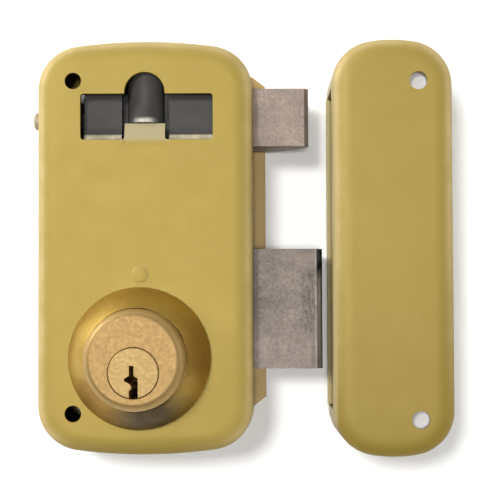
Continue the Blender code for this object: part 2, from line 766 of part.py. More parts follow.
# Thumb slide: plate, two dished pads with lips and a half-round middle
slide_low = window_low + WINDOW_REVEAL / 2
slide_high = window_high + SLIDE_LAP
wing_z = CASE_DEPTH - WING_DEPTH
crest = ceiling - 2 * FIT
plate_top = slide_z + SLIDE_PLATE
slide = add(
    "thumb_slide", block(slide_left, slide_right, slide_low, slide_high, slide_z, plate_top),
    grey_plastic,
)
wing = [(slide_low, slide_z + FIT), (slide_high - FIT, slide_z + FIT), (slide_high - FIT, wing_z)]
for i in range(CORNER_STEPS + 1):
    share = i / CORNER_STEPS
    wing.append((slide_low + RUN + WING_DISH * (1 - share), wing_z + WING_LIP * share**2))
wing.append((slide_low, wing_z + WING_LIP - RUN))
wing_gap = COLUMN_RADIUS + COLUMN_GROOVE
fuse(
    slide,
    along_x(prism(wing, slide_left, arch_x - wing_gap), 0, 0),
    along_x(prism(wing, arch_x + wing_gap, slide_right), 0, 0),
)
column_low = tongue_tip + FIT
column_high = window_high + ARCH_STRAIGHT + ARCH_HALF + WALL
stations = [(column_low + THUMB_FLARE * i / CORNER_STEPS) for i in range(CORNER_STEPS + 1)]
column_rings = []
for y in stations + [column_high]:
    lift = max(0.0, 1 - (y - column_low) / THUMB_FLARE) ** 2
    height = crest - (slide_z + FIT) + lift * THUMB_RISE
    ring = [
        (arch_x + COLUMN_RADIUS * math.cos(t), y, slide_z + FIT + height * math.sin(t))
        for t in [math.pi * i / TINY for i in range(TINY + 1)]
    ]
    column_rings.append(ring)
fuse(slide, loft(column_rings))
carve(slide, *[slide_screw(PIN_FIT, spot) for spot in slide_screws])
soften(slide)
hold_at(slide, 0.0, latch_y, slide_z)
copies("slide_screw", slide_screw(), zinc, [(x, y, 0) for x, y in slide_screws])

# Guide rod, washer and return spring of the latch
rod_end = -CASE_WIDTH / 2 - ROD_PROUD
rod_tip = [
    (0, rod_end), (ROD_RADIUS - RUN, rod_end), (ROD_RADIUS, rod_end + RUN),
    (ROD_RADIUS, rod_seat - FIT), (0, rod_seat - FIT),
]
guide_rod = add("latch_guide_rod", along_x(turned(rod_tip), latch_y, rod_z), steel)
soften(guide_rod)
hold_at(guide_rod, 0.0, latch_y, rod_z)
ring = [
    (ROD_RADIUS + FIT, washer_x), (SPRING_RADIUS + 2 * SPRING_WIRE, washer_x),
    (SPRING_RADIUS + 2 * SPRING_WIRE, washer_x + WASHER), (ROD_RADIUS + FIT, washer_x + WASHER),
]
soften(add("spring_washer", along_x(turned(ring), latch_y, rod_z), zinc))


def coil(name, points, wire, look):
    curve = bpy.data.curves.new(name, "CURVE")
    curve.dimensions = "3D"
    curve.bevel_depth = wire
    curve.bevel_resolution = 1
    curve.use_fill_caps = True
    curve.materials.append(look)
    line = curve.splines.new("POLY")
    line.points.add(len(points) - 1)
    for point, place in zip(line.points, points):
        point.co = (*place, 1.0)
    made = bpy.data.objects.new(name, curve)
    bpy.context.scene.collection.objects.link(made)
    return made


def helix(turns, radius, length, per_turn):
    count = turns * per_turn
    steps = [(math.tau * i / per_turn, length * i / count) for i in range(count + 1)]
    return [(radius * math.cos(t), radius * math.sin(t), along) for t, along in steps]


def least_gap(points, wire, per_turn):
    least = math.inf
    for i, here in enumerate(points):
        for there in points[i + per_turn // 2:]:
            least = min(least, (Vector(here) - Vector(there)).length - 2 * wire)
    return least


turns = helix(SPRING_TURNS, SPRING_RADIUS, spring_length - 2 * SPRING_WIRE, CURL_STEPS)
print(f"latch spring least gap {least_gap(turns, SPRING_WIRE, CURL_STEPS) / MM:.2f} mm")
latch_coil = coil("latch_spring", [(along, a, b) for a, b, along in turns], SPRING_WIRE, steel)
latch_coil.location = (spring_x + SPRING_WIRE, latch_y, rod_z)

# Latch lever, its post and clip
tip = lever_reach + PEG_RADIUS + RUN
slot_half = PEG_RADIUS + RUN
slot_low = lever_reach - LATCH_TRAVEL * math.sin(lever_lean) - 2 * PEG_RADIUS
boss = POST_RADIUS + LEVER_WIDTH / 4
neck_y = slot_low - 2 * FORK_WALL
half_width = LEVER_WIDTH / 2
shape = [(half_width, boss), (half_width, neck_y - FORK_WALL), (fork_half, neck_y)]
shape += [(fork_half, tip), (slot_half, tip), (slot_half, slot_low)]
shape += [(-x, y) for x, y in reversed(shape)]
shape += arc(0, 0, boss, BOSS_START, BOSS_END, TINY)
lever = add("latch_lever", prism(shape, 0.0, LEVER_THICKNESS), steel)
carve(lever, rod(POST_RADIUS + PIN_FIT, -FIT, LEVER_THICKNESS + FIT))
lever.location = (lever_x, lever_y, lever_z)
lever.rotation_euler = (0, 0, -lever_lean)
lever_post_top = lever_top + FIT + CLIP_THICKNESS + CLIP_GROOVE + PIN_FIT
soften(
    add("lever_post", post(lever_x, lever_y, lever_z - FIT, lever_post_top), steel)
)
clip_inner = POST_RADIUS - CLIP_GROOVE + PIN_FIT
lever_clip = clip(
    lever_x, lever_y, lever_post_top - CLIP_GROOVE - CLIP_THICKNESS - PIN_FIT,
    clip_inner, POST_RADIUS + CLIP_RIM, CLIP_MOUTH,
)
add("lever_clip", lever_clip, steel)

# Dead bolt: chamfered head, tail with rack, guide slot and lever peg
bolt_tip = lip_face + BOLT_OUT
head = block(head_back, bolt_tip, bolt_low, bolt_high, bolt_z, bolt_top)
nose_edges = [e for e in head.edges if all(v.co.x > bolt_tip - FIT for v in e.verts)]
bmesh.ops.bevel(
    head, geom=nose_edges, offset=BOLT_CHAMFER, segments=1, affect="EDGES"
)
bolt = add("dead_bolt", head, steel)
tail_left = transfer_x - math.pi * MODULE
tail_y = post_y + GUIDE_POST_RADIUS + FIT + GUIDE_MARGIN
rack = rack_points()
tail = [(tail_left, rack_y + DEDENDUM)] + rack
tail += [(head_back + TAIL_THICKNESS, rack_y + DEDENDUM), (head_back + TAIL_THICKNESS, tail_y)]
tail += [(tail_left, tail_y)]
fuse(
    bolt,
    prism(tail, tail_z, tail_top),
    rod(PEG_RADIUS, tail_top - WALL, lever_top + RUN, (bolt_peg_x, bolt_peg_y), TINY),
)
slot_radius = GUIDE_POST_RADIUS + FIT
slot = stadium(CYLINDER_X, CYLINDER_X + bolt_throw, post_y, slot_radius)
carve(bolt, prism(slot, tail_z - FIT, tail_top + FIT))
hold_at(bolt, 0.0, bolt_y, (bolt_z + bolt_top) / 2)

# Guide post of the dead bolt, riveted through base and cover
mark_z = CASE_DEPTH + PIN_FIT
guide_post = [
    (0, 0.0), (SPIGOT_RADIUS, 0.0), (SPIGOT_RADIUS, floor_top), (SHOULDER_RADIUS, floor_top),
    (SHOULDER_RADIUS, gear_z - RUN), (GUIDE_POST_RADIUS, gear_z - RUN),
    (GUIDE_POST_RADIUS, mark_z), (MARK_RADIUS, mark_z), (MARK_RADIUS, mark_z + MARK_HEIGHT / 2),
    (MARK_RADIUS - MARK_HEIGHT, mark_z + MARK_HEIGHT), (0, mark_z + MARK_HEIGHT),
]
soften(add("bolt_guide_post", turned(guide_post, (CYLINDER_X, post_y), SMALL), gold_paint))

# Rosette, cylinder body and the nut behind the cover
axis = (CYLINDER_X, cylinder_y)
seat_z = face_z - FLANGE_THICKNESS - FIT
top_z = face_z - ROSETTE_DROP
rosette_z = CASE_DEPTH + FIT
inner_r = FLANGE_RADIUS + FIT
rim_top = (ROSETTE_RADIUS, rosette_z + ROSETTE_RIM)
flank = bulged(rim_top, (inner_r + ROSETTE_LAND, top_z), ROSETTE_BOW, CORNER_STEPS)
inner_flank = [(r - ROSETTE_WALL, z - ROSETTE_WALL) for r, z in reversed(flank[::2])]
inner_flank = [(r, z) for r, z in inner_flank if rosette_z < z < seat_z - ROSETTE_WALL]
rosette_profile = [(ROSETTE_RADIUS - ROSETTE_WALL, rosette_z), (ROSETTE_RADIUS, rosette_z)]
rosette_profile += flank + [(inner_r, top_z), (inner_r, seat_z), (BARREL_RADIUS + FIT, seat_z)]
rosette_profile += [(BARREL_RADIUS + FIT, seat_z - ROSETTE_WALL)]
rosette_profile += inner_flank
soften(add("cylinder_rosette", turned(rosette_profile, axis, FINE), brass))
step_z = face_z - FACE_STEP
body_profile = [
    (0, cylinder_rear), (BARREL_RADIUS, cylinder_rear),
    (BARREL_RADIUS, face_z - FLANGE_THICKNESS), (FLANGE_RADIUS, face_z - FLANGE_THICKNESS),
]
shoulder_end = (FLANGE_RADIUS, step_z - SHOULDER_DROP)
body_profile += bulged(shoulder_end, (FACE_RADIUS, step_z), SHOULDER_BOW, CORNER_STEPS // 2)
body_profile += [(FACE_RADIUS, face_z), (0, face_z)]
body = add("cylinder_body", turned(body_profile, axis, FINE), brass)
pin_places = [face_z - PIN_FIRST - i * PIN_PITCH for i in range(PIN_COUNT)]
chamber_top = cylinder_y + math.sqrt(BARREL_RADIUS**2 - PIN_RADIUS**2)
chamber = PIN_RADIUS + PIN_FIT
carve(
    body,
    rod(PLUG_RADIUS + PIN_FIT, cylinder_rear - FIT, face_z + FIT, (CYLINDER_X, plug_y), FINE),
    *[
        along_y(rod(chamber, plug_y, chamber_top + WALL, steps=TINY), CYLINDER_X, z)
        for z in pin_places
    ],
)
soften(body)
nut_z = ceiling - FIT - NUT_THICKNESS
nut_profile = [
    (BARREL_RADIUS + FIT, nut_z), (NUT_RADIUS, nut_z), (NUT_RADIUS, nut_z + NUT_THICKNESS),
    (BARREL_RADIUS + FIT, nut_z + NUT_THICKNESS),
]
nut = add("cylinder_nut", turned(nut_profile, axis, FINE), brass)
notch = (NUT_RADIUS - BARREL_RADIUS) / 2
for i in range(4):
    spin = Matrix.Translation((*axis, 0)) @ Matrix.Rotation(math.pi / 4 + math.pi / 2 * i, 4, "Z")
    tooth = block(NUT_RADIUS - notch, NUT_RADIUS + notch, -notch, notch, nut_z - FIT, ceiling)
    carve(nut, placed(tooth, spin))
soften(nut)


# Pins, springs and caps of the cylinder
def pin(low, high, point):
    profile = [(0, low), (PIN_RADIUS - point, low), (PIN_RADIUS, low + point)]
    profile += [(PIN_RADIUS, high), (0, high)]
    return along_y(turned(profile, steps=TINY), 0, 0)


driver_low = plug_y + PLUG_RADIUS + PIN_FIT
driver_high = driver_low + DRIVER_LENGTH
cap_high = chamber_top - PIN_FIT
cap_low = cap_high - CAP_LENGTH
stacks = [(CYLINDER_X, 0, z) for z in pin_places]
copies("driver_pin", pin(driver_low, driver_high, DRIVER_POINT), steel, stacks)
copies("pin_cap", pin(cap_low, cap_high, CAP_POINT), brass, stacks)
spring_room = cap_low - driver_high - 2 * PIN_FIT - 2 * PIN_WIRE
small = helix(PIN_TURNS, PIN_RADIUS - PIN_WIRE, spring_room, PIN_CURL_STEPS)
print(f"pin spring least gap {least_gap(small, PIN_WIRE, PIN_CURL_STEPS) / MM:.2f} mm")
for i, (x, y, z) in enumerate(stacks, 1):
    small_coil = coil(f"pin_spring_{i}", [(a, along, b) for a, b, along in small], PIN_WIRE, steel)
    small_coil.location = (x, driver_high + PIN_FIT + PIN_WIRE, z)

# Plug with keyway, pin holes and tail
plug_front = face_z + PIN_FIT
clip_low = cylinder_rear - FIT - CLIP_THICKNESS
groove_r = PLUG_RADIUS - CLIP_RIM
tail_end = gear_z - FIT
plug_profile = [
    (0, tail_end), (PLUG_TAIL, tail_end), (PLUG_TAIL, clip_low - CLIP_THICKNESS),
    (PLUG_RADIUS, clip_low - CLIP_THICKNESS), (PLUG_RADIUS, clip_low - PIN_FIT),
    (groove_r, clip_low - PIN_FIT), (groove_r, cylinder_rear - PIN_FIT),
    (PLUG_RADIUS, cylinder_rear - PIN_FIT), (PLUG_RADIUS, plug_front - 2 * PIN_FIT),
    (PLUG_RADIUS - 2 * PIN_FIT, plug_front), (0, plug_front),
]
plug = add("cylinder_plug", turned(plug_profile, steps=FINE), brass)
blade_left = -KEY_OFFSET
blade_right = blade_left + KEY_BLADE
foot_right = blade_right + KEY_SHOULDER
ward_left = blade_left - KEY_WARD
rib_left = blade_left + KEY_RIB
open_end = -PLUG_RADIUS - WALL
keyway = [
    (blade_left, KEY_TOP), (blade_left, -KEY_STEP), (ward_left, -2 * KEY_STEP),
    (ward_left, -3 * KEY_STEP), (blade_left, -4 * KEY_STEP), (rib_left, -5 * KEY_STEP),
    (rib_left, -6 * KEY_STEP), (blade_left, -7 * KEY_STEP), (blade_left, open_end),
    (foot_right, open_end), (foot_right, -2 * KEY_STEP), (blade_right, -KEY_STEP),
    (blade_right, KEY_TOP),
]
cross_z = gear_top + HUB_RISE / 2
carve(
    plug,
    prism(keyway, cylinder_rear + PIN_RADIUS, plug_front + FIT),
    *[along_y(rod(chamber, 0.0, PLUG_RADIUS + WALL, steps=TINY), 0, z) for z in pin_places],
    block(-PLUG_TAIL, PLUG_TAIL, TAIL_FLAT, 2 * PLUG_TAIL, 0.0, gear_top + HUB_RISE + FIT),
    along_x(rod(CROSS_RADIUS + PIN_FIT, -HUB_RADIUS, HUB_RADIUS, steps=TINY), 0, cross_z),
)
soften(plug)
plug.location = (CYLINDER_X, plug_y, 0)

# Key pins at the shear line and the clip behind the cylinder
key_high = math.sqrt(PLUG_RADIUS**2 - PIN_RADIUS**2) - PIN_FIT
key_stacks = [(CYLINDER_X, plug_y, z) for z in pin_places]
copies("key_pin", pin(KEY_PIN_TIP, key_high, KEY_PIN_POINT), brass, key_stacks)
plug_clip = clip(0, 0, 0, groove_r + PIN_FIT, plug_clip_radius, PLUG_CLIP_MOUTH)
plug_clip = add("plug_clip", plug_clip, steel)
plug_clip.location = (CYLINDER_X, plug_y, clip_low)


# Drive gear on the tail of the plug, with a slot for the outside cylinder's tail bar
def flatted(radius, flat):
    lean = math.asin(flat / radius)
    return arc(0, 0, radius, math.pi - lean, math.tau + lean, SMALL)


drive = add("drive_gear", prism(gear_outline(DRIVE_TEETH, GEAR_LEAN), gear_z, gear_top), steel)
fuse(drive, rod(HUB_RADIUS, gear_z - HUB_DEPTH, gear_top + HUB_RISE, steps=ROUND))
tail_bore = flatted(PLUG_TAIL + PIN_FIT, TAIL_FLAT + PIN_FIT)
bar_half = PLUG_TAIL / 2
carve(
    drive,
    prism(tail_bore, tail_end - PIN_FIT, gear_top + HUB_RISE + FIT),
    block(
        -2 * HUB_RADIUS, 2 * HUB_RADIUS, -bar_half, bar_half,
        gear_z - HUB_DEPTH - FIT, gear_z - HUB_DEPTH / 3,
    ),
    along_x(rod(CROSS_RADIUS + PIN_FIT, -2 * HUB_RADIUS, 2 * HUB_RADIUS, steps=TINY), 0, cross_z),
)
drive.location = (CYLINDER_X, plug_y, 0)
cross_pin = along_x(rod(CROSS_RADIUS, -HUB_RADIUS, HUB_RADIUS, steps=TINY), 0, cross_z)
cross_pin = add("gear_pin", cross_pin, steel)
soften(cross_pin)
cross_pin.location = (CYLINDER_X, plug_y, 0)

# Transfer gear: a wheel driven by the plug, with the pinion that moves the rack
wheel_phase = GEAR_LEAN + math.pi + math.pi / WHEEL_TEETH
wheel = add(
    "transfer_gear", prism(gear_outline(WHEEL_TEETH, wheel_phase), gear_z, gear_top), steel
)
pinion_top = tail_top + RUN
fuse(wheel, prism(gear_outline(PINION_TEETH, math.pi / 2), gear_top - RUN, pinion_top))
carve(wheel, rod(POST_RADIUS + FIT, gear_z - FIT, pinion_top + FIT))
wheel.location = (transfer_x, transfer_y, 0)
transfer_top = pinion_top + FIT + CLIP_THICKNESS + CLIP_GROOVE + PIN_FIT
soften(add("transfer_post", post(transfer_x, transfer_y, gear_z - FIT, transfer_top), steel))
transfer_clip = clip(
    transfer_x, transfer_y, transfer_top - CLIP_GROOVE - CLIP_THICKNESS - PIN_FIT,
    clip_inner, POST_RADIUS + CLIP_RIM, CLIP_MOUTH,
)
add("transfer_clip", transfer_clip, steel)

# Keeper: open-mouthed cover, plate, screws and spacers with a thin web for the wood screws to pierce
keeper = (KEEPER_WIDTH, KEEPER_HEIGHT, KEEPER_END_RADIUS)
shell = add("keeper_cover", loft(dome_rings(*keeper, keeper_x, -KEEPER_DROP)), gold_paint)
fuse(shell, *[pillar(x, y) for x, y in keeper_pillars])
mouth_half = KEEPER_HEIGHT / 2 - KEEPER_MOUTH_END
mouth_low = -KEEPER_DROP - mouth_half
mouth_high = -KEEPER_DROP + mouth_half
carve(
    shell,
    *[pillar_bore(x, y) for x, y in keeper_pillars],
    *[rod(HOLE_RADIUS, ceiling - WALL, CASE_DEPTH + WALL, spot, ROUND) for spot in keeper_holes],
    block(
        keeper_left - WALL, keeper_left + 2 * WALL, mouth_low, mouth_high,
        -WALL, CASE_DEPTH - KEEPER_MOUTH_DEPTH,
    ),
)
soften(shell)
plate_outline = bowed(*keeper, WALL + FIT, keeper_x, -KEEPER_DROP)
plate = add("keeper_plate", prism(plate_outline, 0.0, BASE_THICKNESS), gold_paint)
fuse(
    plate,
    block(
        keeper_left - KEEPER_LIP, keeper_left + CORNER_RADIUS / 2, mouth_low + FIT,
        mouth_high - FIT, 0.0, BASE_THICKNESS,
    ),
)
carve(
    plate,
    *[rod(HOLE_RADIUS, -FIT, through, spot) for spot in keeper_holes],
    *[back_screw_hole(x, y) for x, y in keeper_pillars],
)
soften(plate)
spacer_top = ceiling - FIT
web_top = spacer_top - SPACER_CUP
sleeve = [
    (0, web_top - SPACER_WEB), (HOLE_RADIUS, web_top - SPACER_WEB), (HOLE_RADIUS, floor_top),
    (HOLE_RADIUS + SPACER_WALL, floor_top), (HOLE_RADIUS + SPACER_WALL, spacer_top),
    (HOLE_RADIUS, spacer_top), (HOLE_RADIUS, web_top), (0, web_top),
]
copies("keeper_spacer", turned(sleeve), white_plastic, [(x, y, 0) for x, y in keeper_holes])
copies("keeper_screw", back_screw(), zinc, [(x, y, 0) for x, y in keeper_pillars])
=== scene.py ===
import math

import bmesh
import bpy
from mathutils import Matrix, Vector


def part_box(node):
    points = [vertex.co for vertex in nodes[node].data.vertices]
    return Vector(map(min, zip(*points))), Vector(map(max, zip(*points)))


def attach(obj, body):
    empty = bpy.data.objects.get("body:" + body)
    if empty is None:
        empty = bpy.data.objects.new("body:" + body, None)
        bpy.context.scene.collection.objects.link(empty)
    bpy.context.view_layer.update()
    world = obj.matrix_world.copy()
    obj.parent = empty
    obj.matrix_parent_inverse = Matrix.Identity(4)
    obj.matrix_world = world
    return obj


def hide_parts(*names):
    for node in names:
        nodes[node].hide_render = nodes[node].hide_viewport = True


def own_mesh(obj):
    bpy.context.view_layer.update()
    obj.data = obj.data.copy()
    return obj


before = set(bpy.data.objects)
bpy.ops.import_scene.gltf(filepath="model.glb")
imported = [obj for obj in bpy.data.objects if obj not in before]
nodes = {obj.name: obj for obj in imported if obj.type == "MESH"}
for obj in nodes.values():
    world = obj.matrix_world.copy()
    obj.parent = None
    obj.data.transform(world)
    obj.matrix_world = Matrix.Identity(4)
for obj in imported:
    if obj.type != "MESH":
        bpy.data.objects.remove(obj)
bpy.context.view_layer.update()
mm = 0.001  # meshes are drawn in mm and scaled to metres at the end
bpy.context.scene.view_settings.view_transform = "Standard"  # keeps the white floor white


def boxMm(name):
    low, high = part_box(name)
    return low / mm, high / mm


def middleOf(low, high):
    # the upright axis through a box's middle
    return ((low.x + high.x) / 2, (low.y + high.y) / 2)


# outlines, as lists of points in mm
def arcPoints(cx, cy, radius, start, stop, count):
    steps = [start + (stop - start) * i / count for i in range(count + 1)]
    return [(cx + radius * math.cos(t), cy + radius * math.sin(t)) for t in steps]


def bowedOutline(shape, width, height, end, centre, inset=0.0):
    # round corners and bowed ends, drawn in by the inset
    corner = shape["cornerRadius"]
    count = shape["cornerSteps"]
    side = width / 2 - corner
    lean = math.asin(side / (end - corner))
    cornerY = height / 2 - end + (end - corner) * math.cos(lean)
    quarter = math.pi / 2
    half = arcPoints(side, cornerY, corner - inset, 0, quarter - lean, count)
    half += arcPoints(0, height / 2 - end, end - inset, quarter - lean, quarter + lean, count)[1:-1]
    half += arcPoints(-side, cornerY, corner - inset, quarter + lean, math.pi, count)
    cx, cy = centre
    return [(cx + x, cy + y) for x, y in half] + [(cx - x, cy - y) for x, y in half]


def roundedPath(points, radius, count):
    # a path of (a, b) points whose inner corners are rounded
    path = [points[0]]
    for before, here, after in zip(points, points[1:], points[2:]):
        here = Vector(here)
        goIn = (Vector(before) - here).normalized()
        goOut = (Vector(after) - here).normalized()
        room = min((Vector(before) - here).length, (Vector(after) - here).length) / 2
        reach = min(radius, room)
        for i in range(count + 1):
            t = i / count
            spot = here + goIn * reach * (1 - t) ** 2 + goOut * reach * t ** 2
            path.append(tuple(spot))
    path.append(points[-1])
    return path


# solids, as bmesh in mm
boreSteps = 24  # sides of a small bore


def prism(points, low, high):
    bm = bmesh.new()
    face = bm.faces.new([bm.verts.new((x, y, low)) for x, y in points])
    grown = bmesh.ops.extrude_face_region(bm, geom=[face])["geom"]
    verts = [item for item in grown if isinstance(item, bmesh.types.BMVert)]
    bmesh.ops.translate(bm, verts=verts, vec=(0, 0, high - low))
    bmesh.ops.recalc_face_normals(bm, faces=bm.faces)
    return bm


def block(x0, x1, y0, y1, z0, z1):
    return prism([(x0, y0), (x1, y0), (x1, y1), (x0, y1)], z0, z1)


def loft(rings):
    bm = bmesh.new()
    rows = [[bm.verts.new(point) for point in ring] for ring in rings]
    for low, high in zip(rows, rows[1:]):
        for i in range(len(low)):
            j = (i + 1) % len(low)
            bm.faces.new((low[i], low[j], high[j], high[i]))
    bm.faces.new(reversed(rows[0]))
    bm.faces.new(rows[-1])
    bmesh.ops.recalc_face_normals(bm, faces=bm.faces)
    return bm


def turned(profile, steps=96, centre=(0, 0), weld=0.0005):
    # (radius, height) points swept once round the upright axis
    bm = bmesh.new()
    lean = math.pi / steps
    verts = [bm.verts.new((r * math.cos(lean), r * math.sin(lean), z)) for r, z in profile]
    edges = [bm.edges.new(pair) for pair in zip(verts, verts[1:])]
    if profile[0][0] > 0:
        edges.append(bm.edges.new((verts[-1], verts[0])))
    bmesh.ops.spin(
        bm, geom=verts + edges, axis=(0, 0, 1), cent=(0, 0, 0), angle=math.tau, steps=steps,
        use_merge=True,
    )
    bmesh.ops.remove_doubles(bm, verts=bm.verts, dist=weld)
    bmesh.ops.recalc_face_normals(bm, faces=bm.faces)
    bmesh.ops.translate(bm, verts=bm.verts, vec=(centre[0], centre[1], 0))
    return bm


def rod(radius, low, high, centre=(0, 0), steps=48):
    return turned([(0, low), (radius, low), (radius, high), (0, high)], steps, centre)


def alongX(bm, y, z):
    # what stood up along z now lies along x, and its x and y become y and z
    turn = Matrix(((0, 0, 1, 0), (1, 0, 0, y), (0, 1, 0, z), (0, 0, 0, 1)))
    bmesh.ops.transform(bm, matrix=turn, verts=bm.verts)
    return bm


def alongY(bm, x, z):
    turn = Matrix(((0, 1, 0, x), (0, 0, 1, 0), (1, 0, 0, z), (0, 0, 0, 1)))
    bmesh.ops.transform(bm, matrix=turn, verts=bm.verts)
    return bm


# pieces
def addPiece(name, bm):
    bmesh.ops.scale(bm, vec=(mm, mm, mm), verts=bm.verts)
    mesh = bpy.data.meshes.new(name)
    bm.to_mesh(mesh)
    bm.free()
    piece = bpy.data.objects.new(name, mesh)
    bpy.context.scene.collection.objects.link(piece)
    return piece


def combine(piece, bm, operation):
    tool = addPiece("tool", bm)
    step = piece.modifiers.new("combine", "BOOLEAN")
    step.operation = operation
    step.solver = "EXACT"
    step.object = tool
    graph = bpy.context.evaluated_depsgraph_get()
    done = bpy.data.meshes.new_from_object(piece.evaluated_get(graph))
    piece.modifiers.clear()
    old = piece.data
    piece.data = done
    bpy.data.meshes.remove(old)
    bpy.data.objects.remove(tool)


def carve(piece, *cutters):
    for bm in cutters:
        combine(piece, bm, "DIFFERENCE")


def fuse(piece, *lumps):
    for bm in lumps:
        combine(piece, bm, "UNION")


def softEdges(piece, width, angle=35, segments=3, weight=60):
    for polygon in piece.data.polygons:
        polygon.use_smooth = True
    bevel = piece.modifiers.new("softEdges", "BEVEL")
    bevel.width = width * mm
    bevel.segments = segments
    bevel.limit_method = "ANGLE"
    bevel.angle_limit = math.radians(angle)
    even = piece.modifiers.new("evenNormals", "WEIGHTED_NORMAL")
    even.weight = weight


def dress(piece, finish, body, slotName, *replaced):
    piece.data.materials.clear()
    piece.data.materials.append(finish)
    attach(piece, body)
    if replaced:
        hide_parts(*replaced)


# material nodes
def addNode(tree, kind, sockets=None, **settings):
    made = tree.nodes.new(kind)
    for key, value in settings.items():
        setattr(made, key, value)
    for key, value in (sockets or {}).items():
        if isinstance(value, bpy.types.NodeSocket):
            tree.links.new(value, made.inputs[key])
        else:
            made.inputs[key].default_value = value
    return made


def startFinish(name, look):
    finish = bpy.data.materials.new(name)
    finish.use_nodes = True
    shader = finish.node_tree.nodes["Principled BSDF"]
    shader.inputs["Metallic"].default_value = look["metallic"]
    shader.inputs["Specular IOR Level"].default_value = look.get("gloss", 0.5)
    return finish, finish.node_tree, shader


def placeInMm(tree):
    place = addNode(tree, "ShaderNodeTexCoord")
    grown = addNode(
        tree, "ShaderNodeVectorMath", {0: place.outputs["Object"], "Scale": 1 / mm}, operation="SCALE"
    )
    return grown.outputs[0]


def clouds(tree, place, size, detail=4.0, stretch=(1, 1, 1), spread=(0.35, 0.65)):
    # noise from 0 to 1, with blotches about that size in mm
    pulled = addNode(
        tree, "ShaderNodeVectorMath", {0: place, 1: [1 / part for part in stretch]}, operation="MULTIPLY"
    )
    noise = addNode(
        tree, "ShaderNodeTexNoise",
        {"Vector": pulled.outputs[0], "Scale": 1 / size, "Detail": detail},
    )
    return ranged(tree, noise.outputs["Fac"], spread, (0, 1))


def ranged(tree, value, fromSpan, toSpan):
    made = addNode(
        tree, "ShaderNodeMapRange",
        {
            "Value": value, "From Min": fromSpan[0], "From Max": fromSpan[1],
            "To Min": toSpan[0], "To Max": toSpan[1],
        },
    )
    return made.outputs["Result"]


def times(tree, first, second):
    return addNode(tree, "ShaderNodeMath", {0: first, 1: second}, operation="MULTIPLY").outputs[0]


def mixed(tree, share, first, second):
    made = addNode(tree, "ShaderNodeMix", {0: share}, data_type="RGBA")
    for socket, value in ((made.inputs[6], first), (made.inputs[7], second)):
        if isinstance(value, bpy.types.NodeSocket):
            tree.links.new(value, socket)
        else:
            socket.default_value = (*value, 1)
    return made.outputs[2]


def bumped(tree, height, depth):
    sockets = {"Height": height, "Distance": depth * mm, "Strength": 1.0}
    return addNode(tree, "ShaderNodeBump", sockets).outputs["Normal"]


def feed(tree, shader, **sockets):
    names = {"colour": "Base Color", "roughness": "Roughness", "normal": "Normal"}
    for key, value in sockets.items():
        tree.links.new(value, shader.inputs[names[key]])


def fromAxis(tree, place, centre):
    # a point's place as seen from an upright axis
    back = (-centre[0], -centre[1], 0)
    return addNode(tree, "ShaderNodeVectorMath", {0: place, 1: back}, operation="ADD").outputs[0]


def distanceFrom(tree, place, centre):
    # how far a point is from an upright axis, in mm
    moved = fromAxis(tree, place, centre)
    flat = addNode(tree, "ShaderNodeVectorMath", {0: moved, 1: (1, 1, 0)}, operation="MULTIPLY")
    return addNode(tree, "ShaderNodeVectorMath", {0: flat.outputs[0]}, operation="LENGTH").outputs["Value"]


def facingUp(tree):
    # 1 on level faces, falling to 0 on upright ones
    normal = addNode(tree, "ShaderNodeNewGeometry").outputs["Normal"]
    return addNode(tree, "ShaderNodeSeparateXYZ", {0: normal}).outputs["Z"]


def towards(tree, place, centre, way):
    # how far a point lies from an upright axis in one direction, in mm
    moved = fromAxis(tree, place, centre)
    dot = addNode(tree, "ShaderNodeVectorMath", {0: moved, 1: (*way, 0)}, operation="DOT_PRODUCT")
    return dot.outputs["Value"]


def softBox(tree, place, zone):
    # 1 inside the zone's spans and 0 outside, with soft borders
    axes = addNode(tree, "ShaderNodeSeparateXYZ", {0: place}).outputs
    share = None
    for axis in "XYZ":
        if axis not in zone:
            continue
        low, high = zone[axis]
        fade = zone.get("fade" + axis, zone["fade"])
        rise = ranged(tree, axes[axis], (low - fade, low), (0, 1))
        fall = ranged(tree, axes[axis], (high, high + fade), (1, 0))
        both = times(tree, rise, fall)
        share = both if share is None else times(tree, share, both)
    return share


# satin gold paint
goldLook = {
    "metallic": 0.12, "gloss": 0.25, "roughness": (0.48, 0.52),
    "colour": (0.322, 0.226, 0.032), "shade": (0.314, 0.220, 0.031), "wornAndLit": (0.53, 0.41, 0.18),
    "blotch": 22.0, "flake": 0.35, "flakeSpread": (0.2, 0.8), "flaked": 0.08,
    "peel": 0.9, "peelDepth": 0.008,
    "edge": 0.85, "slope": (0.998, 0.86), "upright": (0.1, 0.5), "patch": 7.0, "patched": (0.65, 1),
}


def goldPaint(name, look, paintedLightAndWear=()):
    finish, tree, shader = startFinish(name, look)
    place = placeInMm(tree)
    colour = mixed(tree, clouds(tree, place, look["blotch"]), look["colour"], look["shade"])
    flakes = clouds(tree, place, look["flake"], detail=2.0, spread=look["flakeSpread"])
    colour = mixed(tree, times(tree, flakes, look["flaked"]), colour, look["wornAndLit"])
    level = facingUp(tree)  # rounded edges are painted paler: partly paint wear, partly painted light on the slopes
    slopes = ranged(tree, level, look["slope"], (0, look["edge"]))
    edges = times(tree, slopes, ranged(tree, level, look["upright"], (0, 1)))
    patchy = ranged(tree, clouds(tree, place, look["patch"]), (0, 1), look["patched"])
    colour = mixed(tree, times(tree, edges, patchy), colour, look["wornAndLit"])
    for zone in paintedLightAndWear:
        colour = mixed(tree, softBox(tree, place, zone), colour, zone["colour"])
    peel = clouds(tree, place, look["peel"], detail=3.0)
    roughness = ranged(tree, clouds(tree, place, look["blotch"] / 3), (0, 1), look["roughness"])
    feed(tree, shader, colour=colour, roughness=roughness, normal=bumped(tree, peel, look["peelDepth"]))
    return finish


